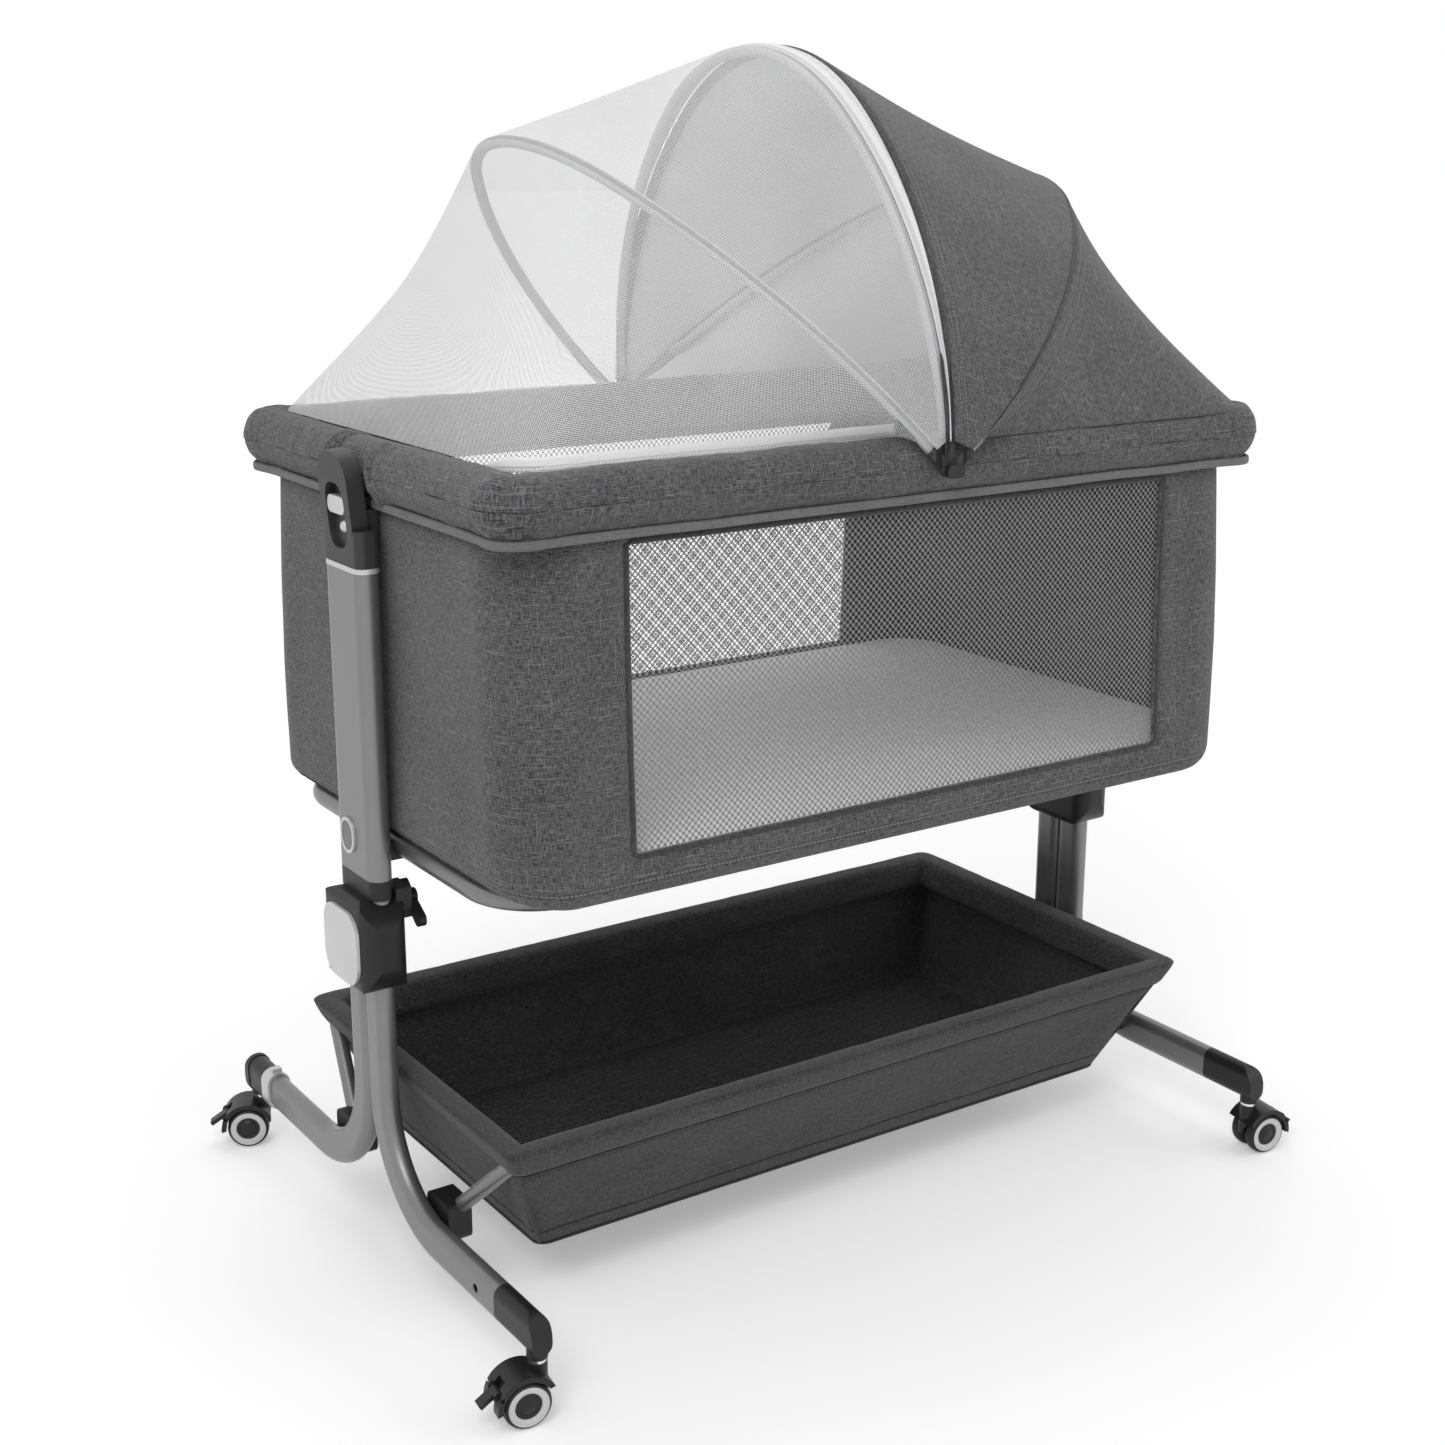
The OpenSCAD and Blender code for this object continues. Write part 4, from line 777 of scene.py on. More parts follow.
class DRESS_OT_walls(bpy.types.Operator):
    """Makes the crib's fabric walls, the bindings of their windows, the window mesh and the inner straps"""

    bl_idname = "dress.walls"
    bl_label = "Walls, windows and straps"

    def execute(self, context):
        columns, rows = wall_columns(), wall_rows()
        around, level = listed(columns), listed(rows)
        round_l = ring_length(SHELL_HI.x, SHELL_HI.y, SHELL_BEND)

        def place(u, v):
            (k, t), (z, inset) = around(u), level(v)
            share = smooth_step((WINDOW_LOW - 0.004 - z)
                / (WINDOW_LOW - 0.004 - SHELL_LO.z)) * smooth_step((0.030 - inset) / 0.020)
            return wall_at(k % 8, t, z, inset)[0] - Vector((0, 0, hem_drop(k % 8, t) * share))

        def chart(u, v):
            (k, t), (z, inset) = around(u), level(v)
            runs = [2 * (SHELL_HI.x - SHELL_BEND) if i % 4 == 0 else 2 * (SHELL_HI.y - SHELL_BEND) if i % 2 == 0
                else SHELL_BEND * math.pi / 2 for i in range(9)]
            return sum(runs[:k]) + runs[k] * t, z - inset

        def window(u, v):
            k, t = columns[min(len(columns) - 1, int(u * (len(columns) - 1)))]
            z = (rows[min(len(rows) - 1, int(v * (len(rows) - 1)))][0]
                + rows[min(len(rows) - 1, int(v * (len(rows) - 1)) + 1)][0]) / 2
            x = abs((SHELL_HI.x - SHELL_BEND) * (2 * t - 1) + 0.001)
            return k % 4 == 0 and x < WINDOW_L and WINDOW_LOW < z < WINDOW_HIGH

        walls = grid_piece("fabric_walls", len(columns) - 1, len(rows) - 1, place, chart, wrap_u=True, drop=window)
        face_towards(walls, lambda p: Vector((p.x, p.y, 0)))
        thicken(walls, WALL_THICKNESS)
        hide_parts("fabric_shell")
        finish_piece(walls, "crib", "charcoal_linen", linen("wall_linen", stitches=(WINDOW_LOW - 0.020,)))

        for side, name in ((0, "front"), (4, "rear")):
            middle = (WINDOW_LOW + WINDOW_HIGH) / 2
            tall = (WINDOW_HIGH - WINDOW_LOW) / 2
            span = SHELL_HI.x - SHELL_BEND

            def on_wall(x, z, inset, side=side):
                hand = 1 if side == 0 else -1
                return wall_at(side, (hand * x / span + 1) / 2, z, inset)[0]

            mesh = grid_piece("window_mesh_" + name, 60, 28,
                lambda u, v: on_wall((2 * u - 1) * (WINDOW_L + 0.005), middle + (2 * v - 1) * (tall + 0.005), 0.0036),
                lambda u, v: (u * 2 * WINDOW_L, v * 2 * tall))
            face_towards(mesh, lambda p: Vector((0, p.y, 0)))
            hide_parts("mesh_windows")
            finish_piece(mesh, "crib", "window_mesh",
                see_through("window_net", "mesh", 0.43, sizes().mesh_pitch, 0.03, sheen=0.0))

            loop = ring_length(WINDOW_L + 0.003, tall + 0.003, 0.004)

            def frame_band(u, v):
                point, out = ring_at(u * loop, WINDOW_L + 0.003, tall + 0.003, 0.004)
                across = (v - 0.5) * 0.0045
                return on_wall(point.x + out.x * across, middle + point.y + out.y * across,
                    -0.0005 - 0.0007 * math.sin(math.pi * v))

            binding = grid_piece("window_binding_" + name, 240, 5, frame_band, lambda u, v: (u * loop, v * 0.008),
                wrap_u=True)
            face_towards(binding, lambda p: Vector((0, p.y, 0)))
            finish_piece(binding, "crib", "charcoal_linen", linen("dark_piping", "basket_dark", "basket_pale"))

        for index, x in enumerate(STRAPS):
            def strap(u, v, x=x):
                z = PAD_HI.z - 0.012 - u * 0.088
                back = RAIL_W - PAD_R - 0.0040 + 0.024 * smooth_step((u - 0.45) / 0.55)
                return Vector((x + (v - 0.5) * 0.026 + 0.010 * (u - 0.5) * (1 if x < 0 else -1), back, z))

            band = grid_piece("inner_strap_%d" % (index + 1), 20, 5, strap, lambda u, v: (v * 0.026, u * 0.09))
            thicken(face_towards(band, lambda p: Vector((0, -1, 0))), 0.0012)
            finish_piece(band, "crib", "charcoal_linen", linen("dark_piping", "basket_dark", "basket_pale"))
        return {"FINISHED"}


class DRESS_OT_mattress(bpy.types.Operator):
    """Makes the padded mattress with rounded corners and a crowned top"""

    bl_idname = "dress.mattress"
    bl_label = "Mattress"

    def execute(self, context):
        bm = bmesh.new()
        size = MATTRESS_HI - MATTRESS_LO
        bmesh.ops.create_cube(bm, size=1.0,
            matrix=Matrix.Translation((MATTRESS_LO + MATTRESS_HI) / 2) @ Matrix.Diagonal((*size, 1.0)))
        upright = [e for e in bm.edges if abs(e.verts[0].co.z - e.verts[1].co.z) > size.z / 2]
        bmesh.ops.bevel(bm, geom=upright, offset=0.055, segments=12, profile=0.5, affect="EDGES", material=-1)
        flat = [e for e in bm.edges if abs(e.verts[0].co.z - e.verts[1].co.z) < 1e-6]
        bmesh.ops.bevel(bm, geom=flat, offset=0.0065, segments=4, profile=0.5, affect="EDGES", material=-1)
        top = max(bm.faces, key=lambda f: f.calc_area() * (1 if f.normal.z > 0.9 else 0))
        for step, rise in ((0.006, 0.0012), (0.012, 0.0012), (0.018, 0.0008)):
            bmesh.ops.inset_region(bm, faces=[top], thickness=step, use_even_offset=True)
            for vert in top.verts:
                vert.co.z += rise
        pad = finish_mesh("mattress_pad", bm)
        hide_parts("mattress")
        made, tree, shader = material("mattress_cotton")
        if tree:
            here = add(tree, "ShaderNodeTexCoord").outputs["Object"]
            pale = tint("mattress")
            got = use(tree, woven_group(), Vector=here, Pitch=0.002, Dark=[c * 0.93 for c in pale[:3]] + [1.0],
                Pale=pale)
            put(tree, shader, "Base Color", got["Color"])
            put(tree, shader, "Roughness", got["Roughness"])
            shader.inputs["Sheen Weight"].default_value = 0.2
            bump(tree, shader, got["Height"], 0.3, 0.0006)
        finish_piece(pad, "crib", "pale_cloth", made)
        return {"FINISHED"}


# ---------------------------------------------------------------- canopy and net

FAN_LENGTH = 1.02
CLOTH_START, SLEEVE_START = 0.016, 0.018
HOOD_SEAM, NET_SEAM, HEM_SEAM = 44, -18, -20


def fan_sheet(name, first, second, sag, cols, rows, thickness=0.0):
    """Cloth between two edges of the fan and its area; its chart is measured from the second edge."""
    def chart(u, v):
        return u * FAN_LENGTH, (v - 1) * (first(u) - second(u)).length

    piece = grid_piece(name, cols, rows, lambda u, v: sagged(first(u), second(u), v, sag, u), chart)
    share = piece.data.attributes.new("share", "FLOAT", "POINT")
    face_towards(piece, outward_of)
    share.data.foreach_set("value", [index // (cols + 1) / rows for index in range(len(piece.data.vertices))])
    area = sum(p.area for p in piece.data.polygons)
    if thickness:
        thicken(piece, thickness, lined=True)
    return piece, area


def fan_blend(piece, first_body, second_body):
    """Bends a piece between two bodies by its share attribute."""
    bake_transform(piece, first_body, second_body, start=(0.3, 0, RAIL_Z), end=(0, 0, RAIL_Z + 0.3))
    data, share = piece.data.attributes["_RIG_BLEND"].data, piece.data.attributes["share"].data
    for index in range(len(piece.data.vertices)):
        data[index].value = share[index].value
    return piece


def sleeve(name, node, start, wide, tall, made, slot, rows=12, sink=0.0):
    """Cloth sleeve round a bow, flat near its ends; sink moves it towards the pivots."""
    half = bow_profile(*bow_sizes(node)[:2])[3]

    def place(u, v):
        s = start + (half - start) * 2 * min(u, 1 - u)
        f, a = smooth_step((s - 0.070) / 0.022), v * math.tau
        lift = (0.0019 * (1 - f) + tall * f) * math.cos(a) - sink * f
        aside = (0.0056 * (1 - f) + wide * f) * math.sin(a)
        return bow_point(node, u, start, lift, aside)

    piece = grid_piece(name, 150, rows, place, lambda u, v: (u * 2 * half, v * 0.03), wrap_v=True)
    bm = bmesh.new()
    bm.from_mesh(piece.data)
    bmesh.ops.holes_fill(bm, edges=[e for e in bm.edges if e.is_boundary])
    bmesh.ops.recalc_face_normals(bm, faces=bm.faces)
    bm.to_mesh(piece.data)
    bm.free()
    finish_piece(piece, BOWS[node][0], slot, made)
    return piece


class DRESS_OT_canopy(bpy.types.Operator):
    """Makes the hood's two cloths, the sleeves of its bows and the white zip tape"""

    bl_idname = "dress.canopy"
    bl_label = "Hood, bow sleeves and zip tape"

    def execute(self, context):
        thick, sag = sizes().cloth_thickness, sizes().hood_sag
        start = CLOTH_START
        front, area = fan_sheet("hood_front", lambda u: bow_point("mid_bow", u, start, 0.0052, -0.001),
            lambda u: bow_point("main_bow", u, start, 0.0052, 0.001), sag, 140, 26, thick)
        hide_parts("canopy_front")
        fan_blend(front, "canopy_mid", "canopy_main")
        finish_piece(front, None, "charcoal_linen", linen("hood_linen", stitches=(-0.0085, -0.016)), lining())

        rear, area = fan_sheet("hood_rear", lambda u: rim_seam(1, u, HOOD_SEAM, start, 0.0022),
            lambda u: bow_point("mid_bow", u, start, 0.0052, 0.001), sag * 1.1, 150, 30, thick)
        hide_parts("canopy_rear")
        fan_blend(rear, "crib", "canopy_mid")
        finish_piece(rear, None, "charcoal_linen", linen("hood_linen"), lining())

        sleeve("main_bow_sleeve", "main_bow", SLEEVE_START, 0.0052, 0.0052,
            linen("binding_cloth", "linen_dark", "binding"), "charcoal_linen")
        sleeve("mid_bow_sleeve", "mid_bow", SLEEVE_START, 0.0049, 0.0056,
            linen("dark_piping", "basket_dark", "basket_pale"), "charcoal_linen")
        sleeve("mid_bow_channel", "mid_bow", SLEEVE_START, 0.0046, 0.0046, pale_binding(), "bow_sleeve",
            sink=0.0036)
        sleeve("net_bow_sleeve", "net_bow", SLEEVE_START, 0.0052, 0.0052, pale_binding(), "bow_sleeve")
        sleeve("net_edge_sleeve", "net_edge_bow", SLEEVE_START, 0.0050, 0.0050, pale_binding(), "bow_sleeve")

        tape, area = fan_sheet("zip_band", lambda u: bow_point("main_bow", u, start, 0.0046, -0.0046),
            lambda u: bow_point("net_edge_bow", u, start, 0.0046, 0.0030), -0.0022, 150, 10, 0.0008)
        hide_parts("zip_tape")
        made, tree, shader = material("zip_tape_cloth")
        if tree:
            flat = cloth_vector(tree)
            parts = add(tree, "ShaderNodeSeparateXYZ")
            put(tree, parts, 0, flat)
            weave = use(tree, woven_group(), Vector=flat, Pitch=0.0012,
                Dark=[c * 0.9 for c in tint("tape")[:3]] + [1.0], Pale=tint("tape"))
            sewn = use(tree, stitch_group(), Vector=flat, Height=-0.0030, Pitch=0.003)
            teeth = maths(tree, "SINE", maths(tree, "MULTIPLY", parts.outputs[0], math.tau / 0.0026))
            coil = spread(tree, maths(tree, "ABSOLUTE", maths(tree, "ADD", parts.outputs[1], 0.0125)), 0.0016,
                0.0022, 1.0, 0.0)
            # painted shade: the groove along the stitch row is darkened to grey, standing in for the shade in the
            # crease
            shade = blend_colours(tree, maths(tree, "MULTIPLY", sewn["Groove"], 0.35), weave["Color"],
                (0.35, 0.35, 0.36, 1.0))
            put(tree, shader, "Base Color",
                blend_colours(tree, maths(tree, "MULTIPLY", coil, spread(tree, teeth, -1.0, 0.2, 0.35, 0.0)),
                shade, (0.45, 0.45, 0.46, 1.0)))
            put(tree, shader, "Roughness", weave["Roughness"])
            bump(tree, shader, maths(tree, "ADD", weave["Height"],
                maths(tree, "MULTIPLY", coil, maths(tree, "ADD", teeth, 3.0))), 0.5, 0.0008)
        finish_piece(tape, "canopy_main", "pale_cloth", made)
        return {"FINISHED"}


def pale_binding():
    return linen("pale_binding", "net_binding", "net_binding_pale")


def lining():
    return linen("hood_lining", "lining", "lining")


class DRESS_OT_net(bpy.types.Operator):
    """Makes the two nets and their white hem along the rim"""

    bl_idname = "dress.net"
    bl_label = "Net and hem"

    def execute(self, context):
        sag, start = sizes().net_sag, CLOTH_START
        made = see_through("net_veil", "net", 0.44, 0.0014, 0.14, sheen=0.0)
        front, area = fan_sheet("net_cloth_front", lambda u: bow_point("net_bow", u, start, 0.0050, 0.002),
            lambda u: bow_point("net_edge_bow", u, start, 0.0050, -0.002), sag * 0.35, 110, 22)
        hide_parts("net_front")
        fan_blend(front, "net_mid", "net_edge")
        finish_piece(front, None, "white_net", made)
        rear, area = fan_sheet("net_cloth_rear", lambda u: rim_seam(-1, u, NET_SEAM, start, 0.0012),
            lambda u: bow_point("net_bow", u, start, 0.0050, -0.002), sag, 130, 26)
        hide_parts("net_rear")
        fan_blend(rear, "crib", "net_mid")
        finish_piece(rear, None, "white_net", made)

        def hem_point(u, v):
            foot = rim_seam(-1, 0.01 + 0.345 * u, HEM_SEAM, start, 0.0006)
            tall = 0.0115 * smooth_step((1 - u) / 0.12)
            return foot + Vector((0, 0.003 * v, -0.001 + tall * v + 0.0006 * soft((foot.x, foot.y, 0), 20)))

        hem = grid_piece("net_hem", 90, 4, hem_point, lambda u, v: (u * 0.5, v * 0.0125))
        thicken(face_towards(hem, lambda p: Vector((0, -1, 0))), 0.0009, 0.0)
        finish_piece(hem, "crib", "white_net", linen("hem_tape", "tape", "tape", stitches=(0.003,)))
        return {"FINISHED"}


# ---------------------------------------------------------------- basket

HEM = [(0.0006, 0.1606), (-0.0022, 0.1618), (-0.0032, 0.1660), (-0.0036, 0.1720), (-0.0034, 0.1800),
    (-0.0026, 0.1852), (-0.0006, 0.1866), (0.0030, 0.1870), (0.0090, 0.1872),
    (0.0150, 0.1868), (0.0196, 0.1858), (0.0218, 0.1830), (0.0228, 0.1740), (0.0230, 0.1660), (0.0222, 0.1618),
    (0.0190, 0.1606)]
TRAY_TAPER_L, TRAY_TAPER_W = 0.055, 0.056
TRAY_CORNER = 0.012


def tray_at(k, t, inset, z):
    """Point on the basket's cloth: inset from its slanting outer wall, at a height."""
    share = (z - TRAY_LO.z) / (TRAY_HI.z - TRAY_LO.z)
    l, w = TRAY_HI.x - TRAY_TAPER_L * (1 - share) - inset, TRAY_HI.y - TRAY_TAPER_W * (1 - share) - inset
    point, out = ring_part(k, t, l, w, min(TRAY_CORNER, max(0.0015, TRAY_CORNER - inset), w / 2 + 0.0005))
    waist = math.sin(math.pi * min(1.0, max(0.0, share * 1.12)))
    mid = math.sin(math.pi * t) if k % 2 == 0 else 0.0
    move = waist * (-0.0045 * mid ** 0.5 + 0.0032 * soft((point.x, point.y, z * 1.5), 12) + 0.0018
        * soft((point.x * 2, point.y * 2, z), 36))
    move += 0.0009 * soft((point.x, point.y, z * 3), 60, 5.0) * min(1.0, share * 3)
    if inset > 0.05:
        move = 0.0
    return Vector((point.x + out.x * move, point.y + out.y * move, z))


def tray_columns():
    found = []
    for k in range(8):
        found += [(k, i / n) for n in ([60] if k % 4 == 0 else [36] if k % 2 == 0 else [6]) for i in range(n)]
    return found + [(8, 0.0)]


class DRESS_OT_basket(bpy.types.Operator):
    """Makes the basket's cloth with its stitched hem, and the piping round its foot"""

    bl_idname = "dress.basket"
    bl_label = "Basket"

    def execute(self, context):
        low = TRAY_LO.z
        rows = [(0.136, low + 0.0052), (0.055, low + 0.0048), (0.010, low + 0.0050), (0.0062, low + 0.010)]
        rows += [(0.0060, low + 0.010 + (0.145 - low) * i / 9) for i in range(1, 10)]
        rows += HEM[::-1] + [(0.0, 0.1585)]
        rows += [(0.0, 0.1585 + (low + 0.004 - 0.1585) * i / 12) for i in range(1, 13)] + [(0.0012, low + 0.0012),
            (0.0040, low), (0.055, low), (0.136, low)]
        columns = tray_columns()
        around, level = listed(columns), listed(rows)
        runs = [2 * TRAY_HI.x, 0.018, 2 * TRAY_HI.y, 0.018] * 2 + [0.0]
        heights = [0.0]
        for (a, b), (c, d) in zip(rows, rows[1:]):
            heights.append(heights[-1] + math.hypot(a - c, b - d))
        tall = listed(heights)

        def chart(u, v):
            k, t = around(u)
            return sum(runs[:k]) + runs[k] * t, tall(v) - heights[-17]

        tray = grid_piece("basket_cloth", len(columns) - 1, len(rows) - 1,
            lambda u, v: tray_at(around(u)[0] % 8, around(u)[1], *level(v)), chart, wrap_u=True)
        bm = bmesh.new()
        bm.from_mesh(tray.data)
        bmesh.ops.holes_fill(bm, edges=[e for e in bm.edges if e.is_boundary])
        bmesh.ops.recalc_face_normals(bm, faces=bm.faces)
        bm.to_mesh(tray.data)
        bm.free()
        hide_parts("basket_tray")
        finish_piece(tray, "stand", "black_linen",
            linen("basket_linen", "basket_dark", "basket_pale", stitches=(0.0005, 0.0026)))

        def piping(u, v, rise=0.0022, thick=0.0022):
            k, t = around(u)
            foot = tray_at(k % 8, t, 0.0006, low + rise)
            a = v * math.tau
            if k % 4 == 0:
                out = Vector((0, math.copysign(1, foot.y), 0))
            elif k % 2 == 0:
                out = Vector((math.copysign(1, foot.x), 0, 0))
            else:
                out = Vector((foot.x * TRAY_HI.y, foot.y * TRAY_HI.x, 0)).normalized()
            return foot + out * thick * math.cos(a) + Vector((0, 0, thick * math.sin(a)))

        for name, rise, thick in (("basket_piping", 0.0022, 0.0022), ("basket_welt", 0.0175, 0.0013),
                ("basket_hem_seam", 0.0985, 0.0010)):
            cord = grid_piece(name, len(columns) - 1, 8, lambda u, v: piping(u, v, rise, thick),
                lambda u, v: (u * 2.2, v * 0.014), wrap_u=True, wrap_v=True)
            face_out(cord)
            finish_piece(cord, "stand", "black_linen", linen("black_piping", "basket_dark", "tyre"))

        for index, (x, y) in enumerate((x, y) for x in (-1, 1) for y in (-1, 1)):
            def seam(u, v, x=x, y=y):
                z = low + 0.002 + (0.157 - low) * u
                share = 1 - (z - low) / (TRAY_HI.z - low)
                foot = Vector((x * (TRAY_HI.x - 0.0035 - TRAY_TAPER_L * share),
                    y * (TRAY_HI.y - 0.0035 - TRAY_TAPER_W * share), z))
                a = v * math.tau
                away = Vector((x, y, 0)).normalized()
                return foot + away * 0.0016 * math.cos(a) + Vector((-away.y, away.x, 0)) * 0.0022 * math.sin(a)

            ridge = grid_piece("basket_corner_%d" % (index + 1), 24, 8, seam, lambda u, v: (u * 0.12, v * 0.012),
                wrap_v=True)
            face_out(ridge)
            finish_piece(ridge, "stand", "black_linen", linen("dark_piping", "basket_dark", "basket_pale"))
        return {"FINISHED"}


# ---------------------------------------------------------------- wheels

WHEEL_TURNS = {"front_left": 172, "rear_left": 155, "front_right": -8, "rear_right": 25}
DISC_IN = 0.0041
# Half lines of a wheel, as radius and width: its tread, its pale ring and its hub
DISC = ([(0.0032, 0.0004), (0.0060, 0.0), (0.0175, 0.0), (0.0192, 0.0006), (0.0205, 0.0022), (0.0210, 0.0042),
    (0.0210, 0.0088), (0.0204, 0.0108), (0.0193, 0.0122), (0.0178, 0.0128)],
    [(0.0172, 0.0125), (0.0168, 0.0122), (0.0160, 0.0127), (0.0128, 0.0127), (0.0121, 0.0122), (0.0118, 0.0110)],
    [(0.0112, 0.0106), (0.0085, 0.0104), (0.0070, 0.0116), (0.0046, 0.0124), (0.0020, 0.0126), (0.0, 0.0127)])


class DRESS_OT_wheels(bpy.types.Operator):
    """Turns the twin wheels of each caster, with a tread, a pale ring and a hub"""

    bl_idname = "dress.wheels"
    bl_label = "Caster wheels"

    def execute(self, context):
        looks = [moulded("tyre_rubber", "tyre", 0.55, 700.0, 0.2), moulded("wheel_ring", "wheel_ring", 0.38),
            moulded("wheel_hub", "plastic", 0.35)]
        for name, turn in WHEEL_TURNS.items():
            low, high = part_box("caster_wheels_" + name)
            middle = (low + high) / 2
            bm = bmesh.new()
            for index, line in enumerate(DISC):
                points = line if index == 0 else [DISC[index - 1][-1]] + line
                verts = [bm.verts.new((r, -(DISC_IN + y), 0)) for r, y in points]
                edges = [bm.edges.new(pair) for pair in zip(verts, verts[1:])]
                bmesh.ops.spin(bm, geom=verts + edges, axis=(0, 1, 0), angle=math.tau, steps=sizes().wheel_steps,
                    use_merge=True)
                for face in bm.faces:
                    if not face.tag:
                        face.tag, face.material_index = True, index
            bmesh.ops.remove_doubles(bm, verts=bm.verts, dist=1e-6)
            bmesh.ops.mirror(bm, geom=bm.verts[:] + bm.edges[:] + bm.faces[:], axis="Y", merge_dist=1e-7)
            axle = bmesh.ops.create_cone(bm, cap_ends=True, segments=24, radius1=0.003, radius2=0.003,
                depth=2 * (DISC_IN + 0.009), matrix=Matrix.Rotation(math.pi / 2, 4, "X"))
            for face in {f for vert in axle["verts"] for f in vert.link_faces}:
                face.material_index = 2
            bmesh.ops.recalc_face_normals(bm, faces=bm.faces)
            bmesh.ops.transform(bm, matrix=Matrix.Translation(middle) @ Matrix.Rotation(math.radians(turn), 4,
                "Z"), verts=bm.verts)
            wheels = finish_mesh("twin_wheels_" + name, bm)
            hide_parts("caster_wheels_" + name)
            finish_piece(wheels, "wheels_" + name, "caster_black", *looks)
            wheels.data.set_sharp_from_angle(angle=math.radians(40))
        return {"FINISHED"}


# ---------------------------------------------------------------- finishes


def object_linen(name, dark, pale):
    """Linen in a piece's own coordinates, for a rigid part covered in cloth."""
    made, tree, shader = material(name)
    if tree:
        here = add(tree, "ShaderNodeTexCoord").outputs["Object"]
        got = use(tree, woven_group(), Vector=here, Pitch=sizes().weave_pitch, Dark=tint(dark), Pale=tint(pale))
        put(tree, shader, "Base Color", got["Color"])
        put(tree, shader, "Roughness", got["Roughness"])
        shader.inputs["Specular IOR Level"].default_value = 0.25
        bump(tree, shader, got["Height"], 0.4, 0.0006)
    return made


class DRESS_OT_level_windows(bpy.types.Operator):
    """Sets a dark lens in the pale ring low on each upper tube"""

    bl_idname = "dress.level_windows"
    bl_label = "Level windows"

    def execute(self, context):
        for name, hand in ENDS.items():
            low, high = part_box("trim_" + name)
            face = high.x if hand > 0 else low.x
            bm = bmesh.new()
            bmesh.ops.create_circle(bm, cap_ends=True, segments=40, radius=0.0102)
            for vert in bm.verts:
                vert.co.y += math.copysign(0.003, vert.co.y) if abs(vert.co.y) > 1e-5 else 0.0
            grown = bmesh.ops.extrude_face_region(bm, geom=bm.faces[:])
            bmesh.ops.translate(bm, vec=(0, 0, 0.0012),
                verts=[v for v in grown["geom"] if isinstance(v, bmesh.types.BMVert)])
            rim = [e for e in bm.edges if all(v.co.z > 0.001 for v in e.verts)]
            bmesh.ops.bevel(bm, geom=rim, offset=0.0005, segments=2, profile=0.5, affect="EDGES", material=-1)
            turn = Matrix(((0, 0, hand), (hand, 0, 0), (0, 1, 0))).to_4x4()
            bmesh.ops.transform(bm, matrix=Matrix.Translation((face - hand * 0.0018, 0.009,
                low.z + 0.0165)) @ turn, verts=bm.verts)
            bmesh.ops.recalc_face_normals(bm, faces=bm.faces)
            lens = finish_mesh("level_window_" + name, bm, smooth=False)
            finish_piece(lens, "lift_" + name, "black_plastic", moulded("lens_plastic", "head", 0.22, coat=0.6))
        return {"FINISHED"}


class DRESS_OT_finishes(bpy.types.Operator):
    """Gives every rigid part its finish"""

    bl_idname = "dress.finishes"
    bl_label = "Rigid finishes"

    def execute(self, context):
        tube = moulded("satin_tube", "tube", 0.34, 1500.0, 0.05, metal=0.65)
        black = moulded("dark_plastic", "plastic", 0.42)
        head = moulded("head_plastic", "head", 0.46)
        silver = moulded("silver_plastic", "silver", 0.32, 1200.0, 0.05, metal=0.35, coat=0.2)
        chrome = moulded("polished_chrome", "chrome", 0.12, 1500.0, 0.02, metal=1.0)
        cover = object_linen("board_cover", "basket_dark", "basket_pale")
        finishes = {
            "leg": tube, "upper_tube": tube, "basket_bar": tube, "bottom_loop": tube, "top_rail": tube,
            "front_foot_caps": black, "rear_foot_sleeves": black, "rear_foot_rings": silver, "leg_brackets": black,
            "basket_board": cover, "caster_stems": chrome, "collar": black, "housing": black, "trim": silver,
            "head": head,
            "height_button": silver, "lock_knob": black, "release_button": silver, "floor_board": cover,
            "loop_clips": black,
            "rail_hangers": black, "canopy_pivots": black, "mid_bow": cover, "main_bow": cover, "net_bow": cover,
            "net_edge_bow": cover,
            "caster_hood": black, "brake": black,
        }
        for name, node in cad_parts.items():
            keys = [key for key in finishes if name.startswith(key)]
            if not keys or node.type != "MESH":
                continue
            made = finishes[max(keys, key=len)]
            if node.data.materials:
                for slot in node.material_slots:
                    slot.material = made
            else:
                node.data.materials.append(made)
        return {"FINISHED"}


# ---------------------------------------------------------------- stage

EYE = Vector((-1.13538, -1.62032, 1.01884))
EYE_AZ, EYE_EL, EYE_ROLL = (math.radians(angle) for angle in (34.0747, 15.8524, 0.1417))
EYE_LENS = 36 * 2090.81 / 1445


def area_light(name, place, target, size, power):
    lamp = bpy.data.lights.new(name, "AREA")
    lamp.shape, lamp.size, lamp.energy = "DISK", size, power
    held = bpy.data.objects.new(name, lamp)
    held.location = place
    held.rotation_euler = (Vector(target) - Vector(place)).to_track_quat("-Z", "Y").to_euler()
    bpy.context.scene.collection.objects.link(held)


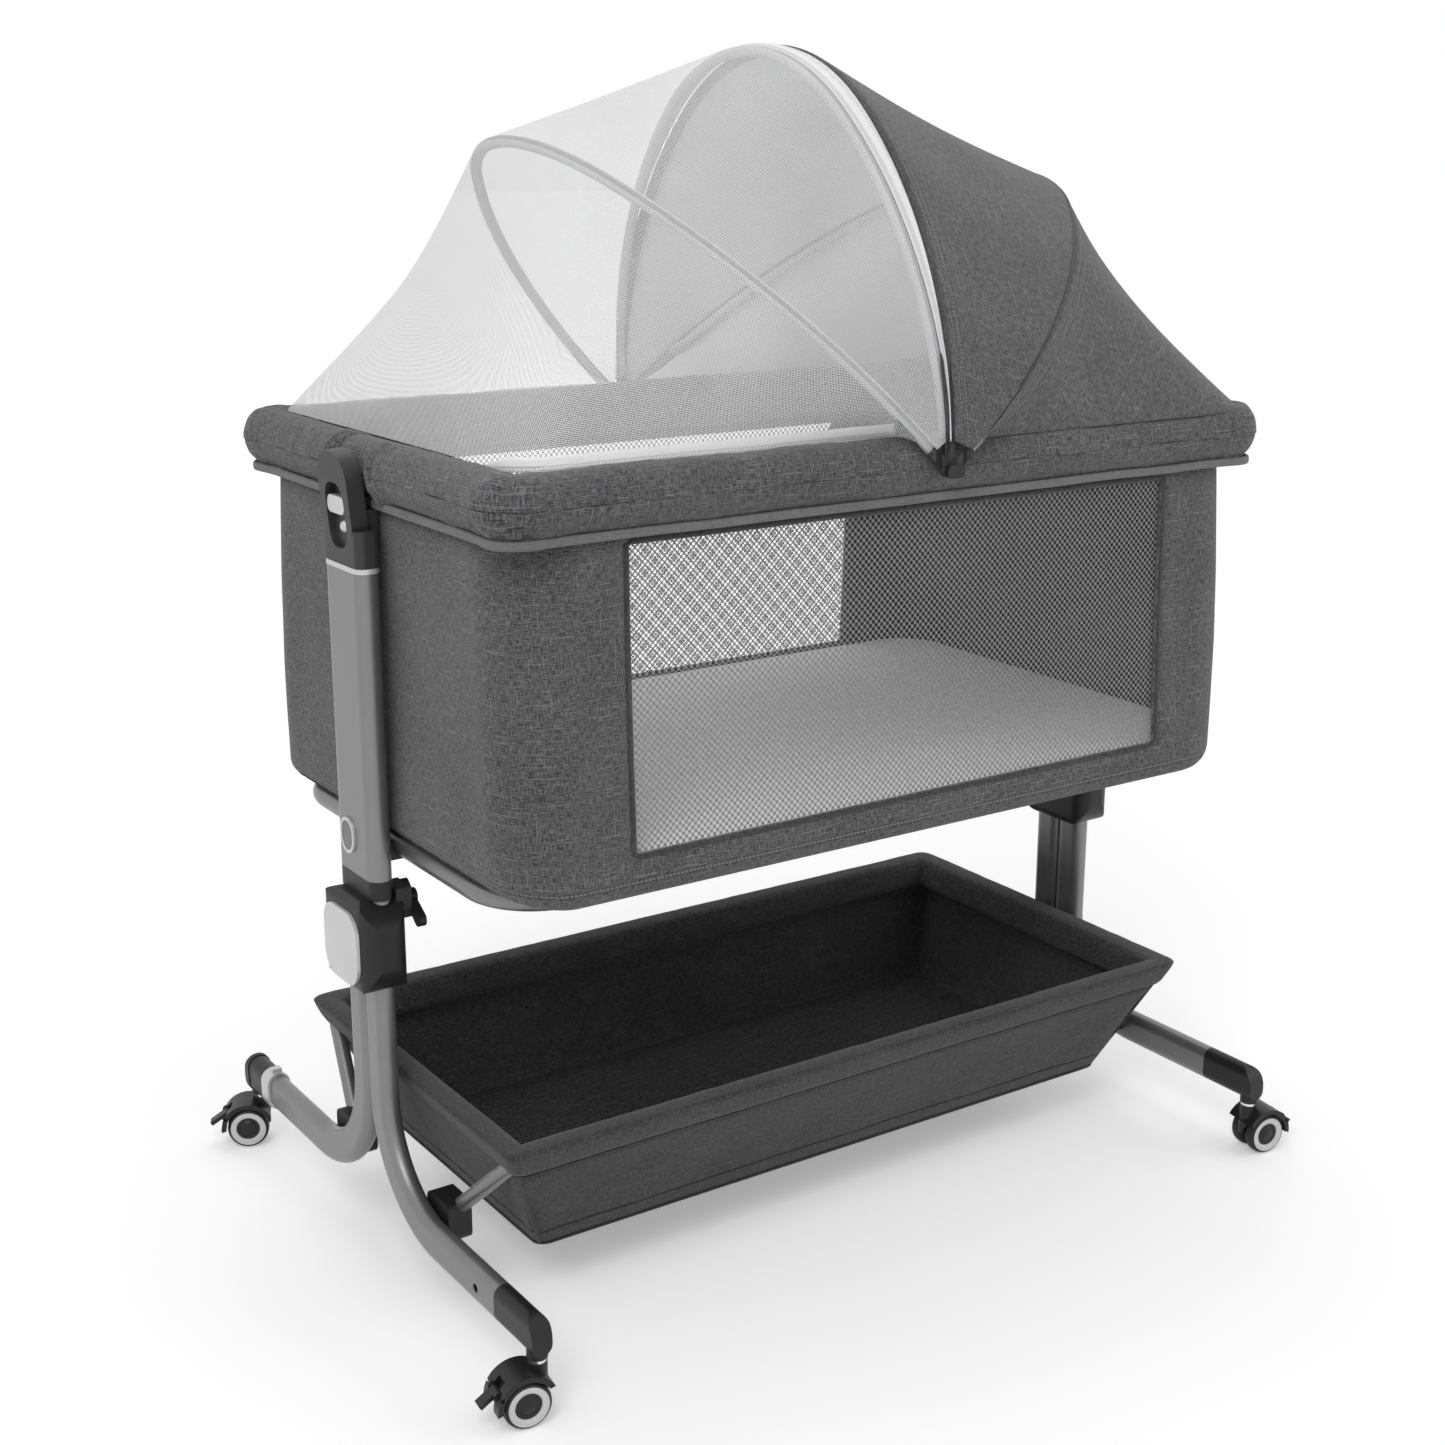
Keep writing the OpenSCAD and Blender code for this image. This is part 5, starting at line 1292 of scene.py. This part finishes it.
class DRESS_OT_stage(bpy.types.Operator):
    """Sets up the pale floor, the soft lights, the white background and the camera"""

    bl_idname = "dress.stage"
    bl_label = "Stage"

    def execute(self, context):
        scene = context.scene
        scene.view_settings.view_transform = "Standard"

        bm = bmesh.new()
        bmesh.ops.create_grid(bm, x_segments=4, y_segments=4, size=30.0)
        floor = finish_mesh("floor", bm)
        made, tree, shader = material("pale_floor")
        if tree:
            here = add(tree, "ShaderNodeTexCoord").outputs["Object"]
            tone = noise_of(tree, here, 3.0, 3.0)
            put(tree, shader, "Base Color",
                blend_colours(tree, spread(tree, tone, 0.3, 0.7), tint("floor"),
                [min(1, c * 1.01) for c in tint("floor")]))
            put(tree, shader, "Roughness", spread(tree, tone, 0.3, 0.7, 0.78, 0.84))
            rays = add(tree, "ShaderNodeLightPath")
            seen = maths(tree, "MAXIMUM", rays.outputs["Is Camera Ray"], rays.outputs["Is Glossy Ray"])
            away = add(tree, "ShaderNodeVectorMath", operation="LENGTH")
            put(tree, away, 0, here)
            put(tree, shader, "Emission Strength",
                maths(tree, "MULTIPLY", seen, spread(tree, away.outputs["Value"], 0.6, 5.0, 0.30, 0.53)))
            shader.inputs["Emission Color"].default_value = (1.0, 1.0, 1.0, 1.0)
        floor.data.materials.append(made)

        world = scene.world or bpy.data.worlds.new("studio")
        scene.world = world
        world.use_nodes = True
        tree = world.node_tree
        tree.nodes.clear()
        rays = add(tree, "ShaderNodeLightPath")
        seen = maths(tree, "MAXIMUM", rays.outputs["Is Camera Ray"],
            maths(tree, "MAXIMUM", rays.outputs["Is Glossy Ray"], rays.outputs["Is Transmission Ray"]))
        sky = add(tree, "ShaderNodeBackground")
        put(tree, sky, "Color", (1.0, 1.0, 1.0, 1.0))
        put(tree, sky, "Strength", maths(tree, "ADD", 0.52, maths(tree, "MULTIPLY", seen, 0.48)))
        tree.links.new(sky.outputs[0], add(tree, "ShaderNodeOutputWorld").inputs[0])

        area_light("key", (-1.9, -1.7, 2.7), (0.0, 0.0, 0.6), 1.8, 36.0)
        area_light("fill", (2.4, -1.6, 1.6), (0.0, 0.0, 0.5), 2.2, 14.0)
        area_light("top", (0.2, 1.0, 3.0), (0.0, 0.0, 0.5), 2.0, 14.0)

        lens = bpy.data.cameras.new("camera")
        lens.sensor_width, lens.lens, lens.clip_end = 36.0, EYE_LENS, 100.0
        eye = bpy.data.objects.new("camera", lens)
        ahead = Vector((math.sin(EYE_AZ) * math.cos(EYE_EL), math.cos(EYE_AZ) * math.cos(EYE_EL),
            -math.sin(EYE_EL)))
        right = Vector((math.cos(EYE_AZ), -math.sin(EYE_AZ), 0))
        over = right.cross(ahead)
        side = right * math.cos(EYE_ROLL) + over * math.sin(EYE_ROLL)
        over = over * math.cos(EYE_ROLL) - right * math.sin(EYE_ROLL)
        turn = Matrix((side, over, -ahead)).transposed().to_4x4()
        eye.matrix_world = Matrix.Translation(EYE) @ turn
        scene.collection.objects.link(eye)
        scene.camera = eye
        return {"FINISHED"}


# ---------------------------------------------------------------- panel and registration

STEPS = ("rim", "walls", "mattress", "canopy", "net", "basket", "wheels", "level_windows", "finishes", "stage")


class DRESS_PT_panel(bpy.types.Panel):
    """Lists the bassinet's pieces and settings"""

    bl_idname = "DRESS_PT_panel"
    bl_label = "Bassinet dressing"
    bl_space_type = "VIEW_3D"
    bl_region_type = "UI"
    bl_category = "Bassinet"

    def draw(self, context):
        for step in STEPS:
            self.layout.operator("dress." + step)
        for held in (context.scene.dress_sizes, context.scene.dress_colours):
            box = self.layout.box()
            for name in held.__annotations__:
                box.prop(held, name)


CLASSES = (DressSizes, DressColours, DRESS_OT_rim, DRESS_OT_walls, DRESS_OT_mattress, DRESS_OT_canopy,
    DRESS_OT_net, DRESS_OT_basket, DRESS_OT_wheels,
    DRESS_OT_level_windows, DRESS_OT_finishes, DRESS_OT_stage, DRESS_PT_panel)


def register():
    for kind in CLASSES:
        bpy.utils.register_class(kind)
    bpy.types.Scene.dress_sizes = PointerProperty(type=DressSizes)
    bpy.types.Scene.dress_colours = PointerProperty(type=DressColours)


def unregister():
    del bpy.types.Scene.dress_colours
    del bpy.types.Scene.dress_sizes
    for kind in reversed(CLASSES):
        bpy.utils.unregister_class(kind)


def main():
    register()
    for step in STEPS:
        getattr(bpy.ops.dress, step)()


if __name__ == "__main__":
    main()
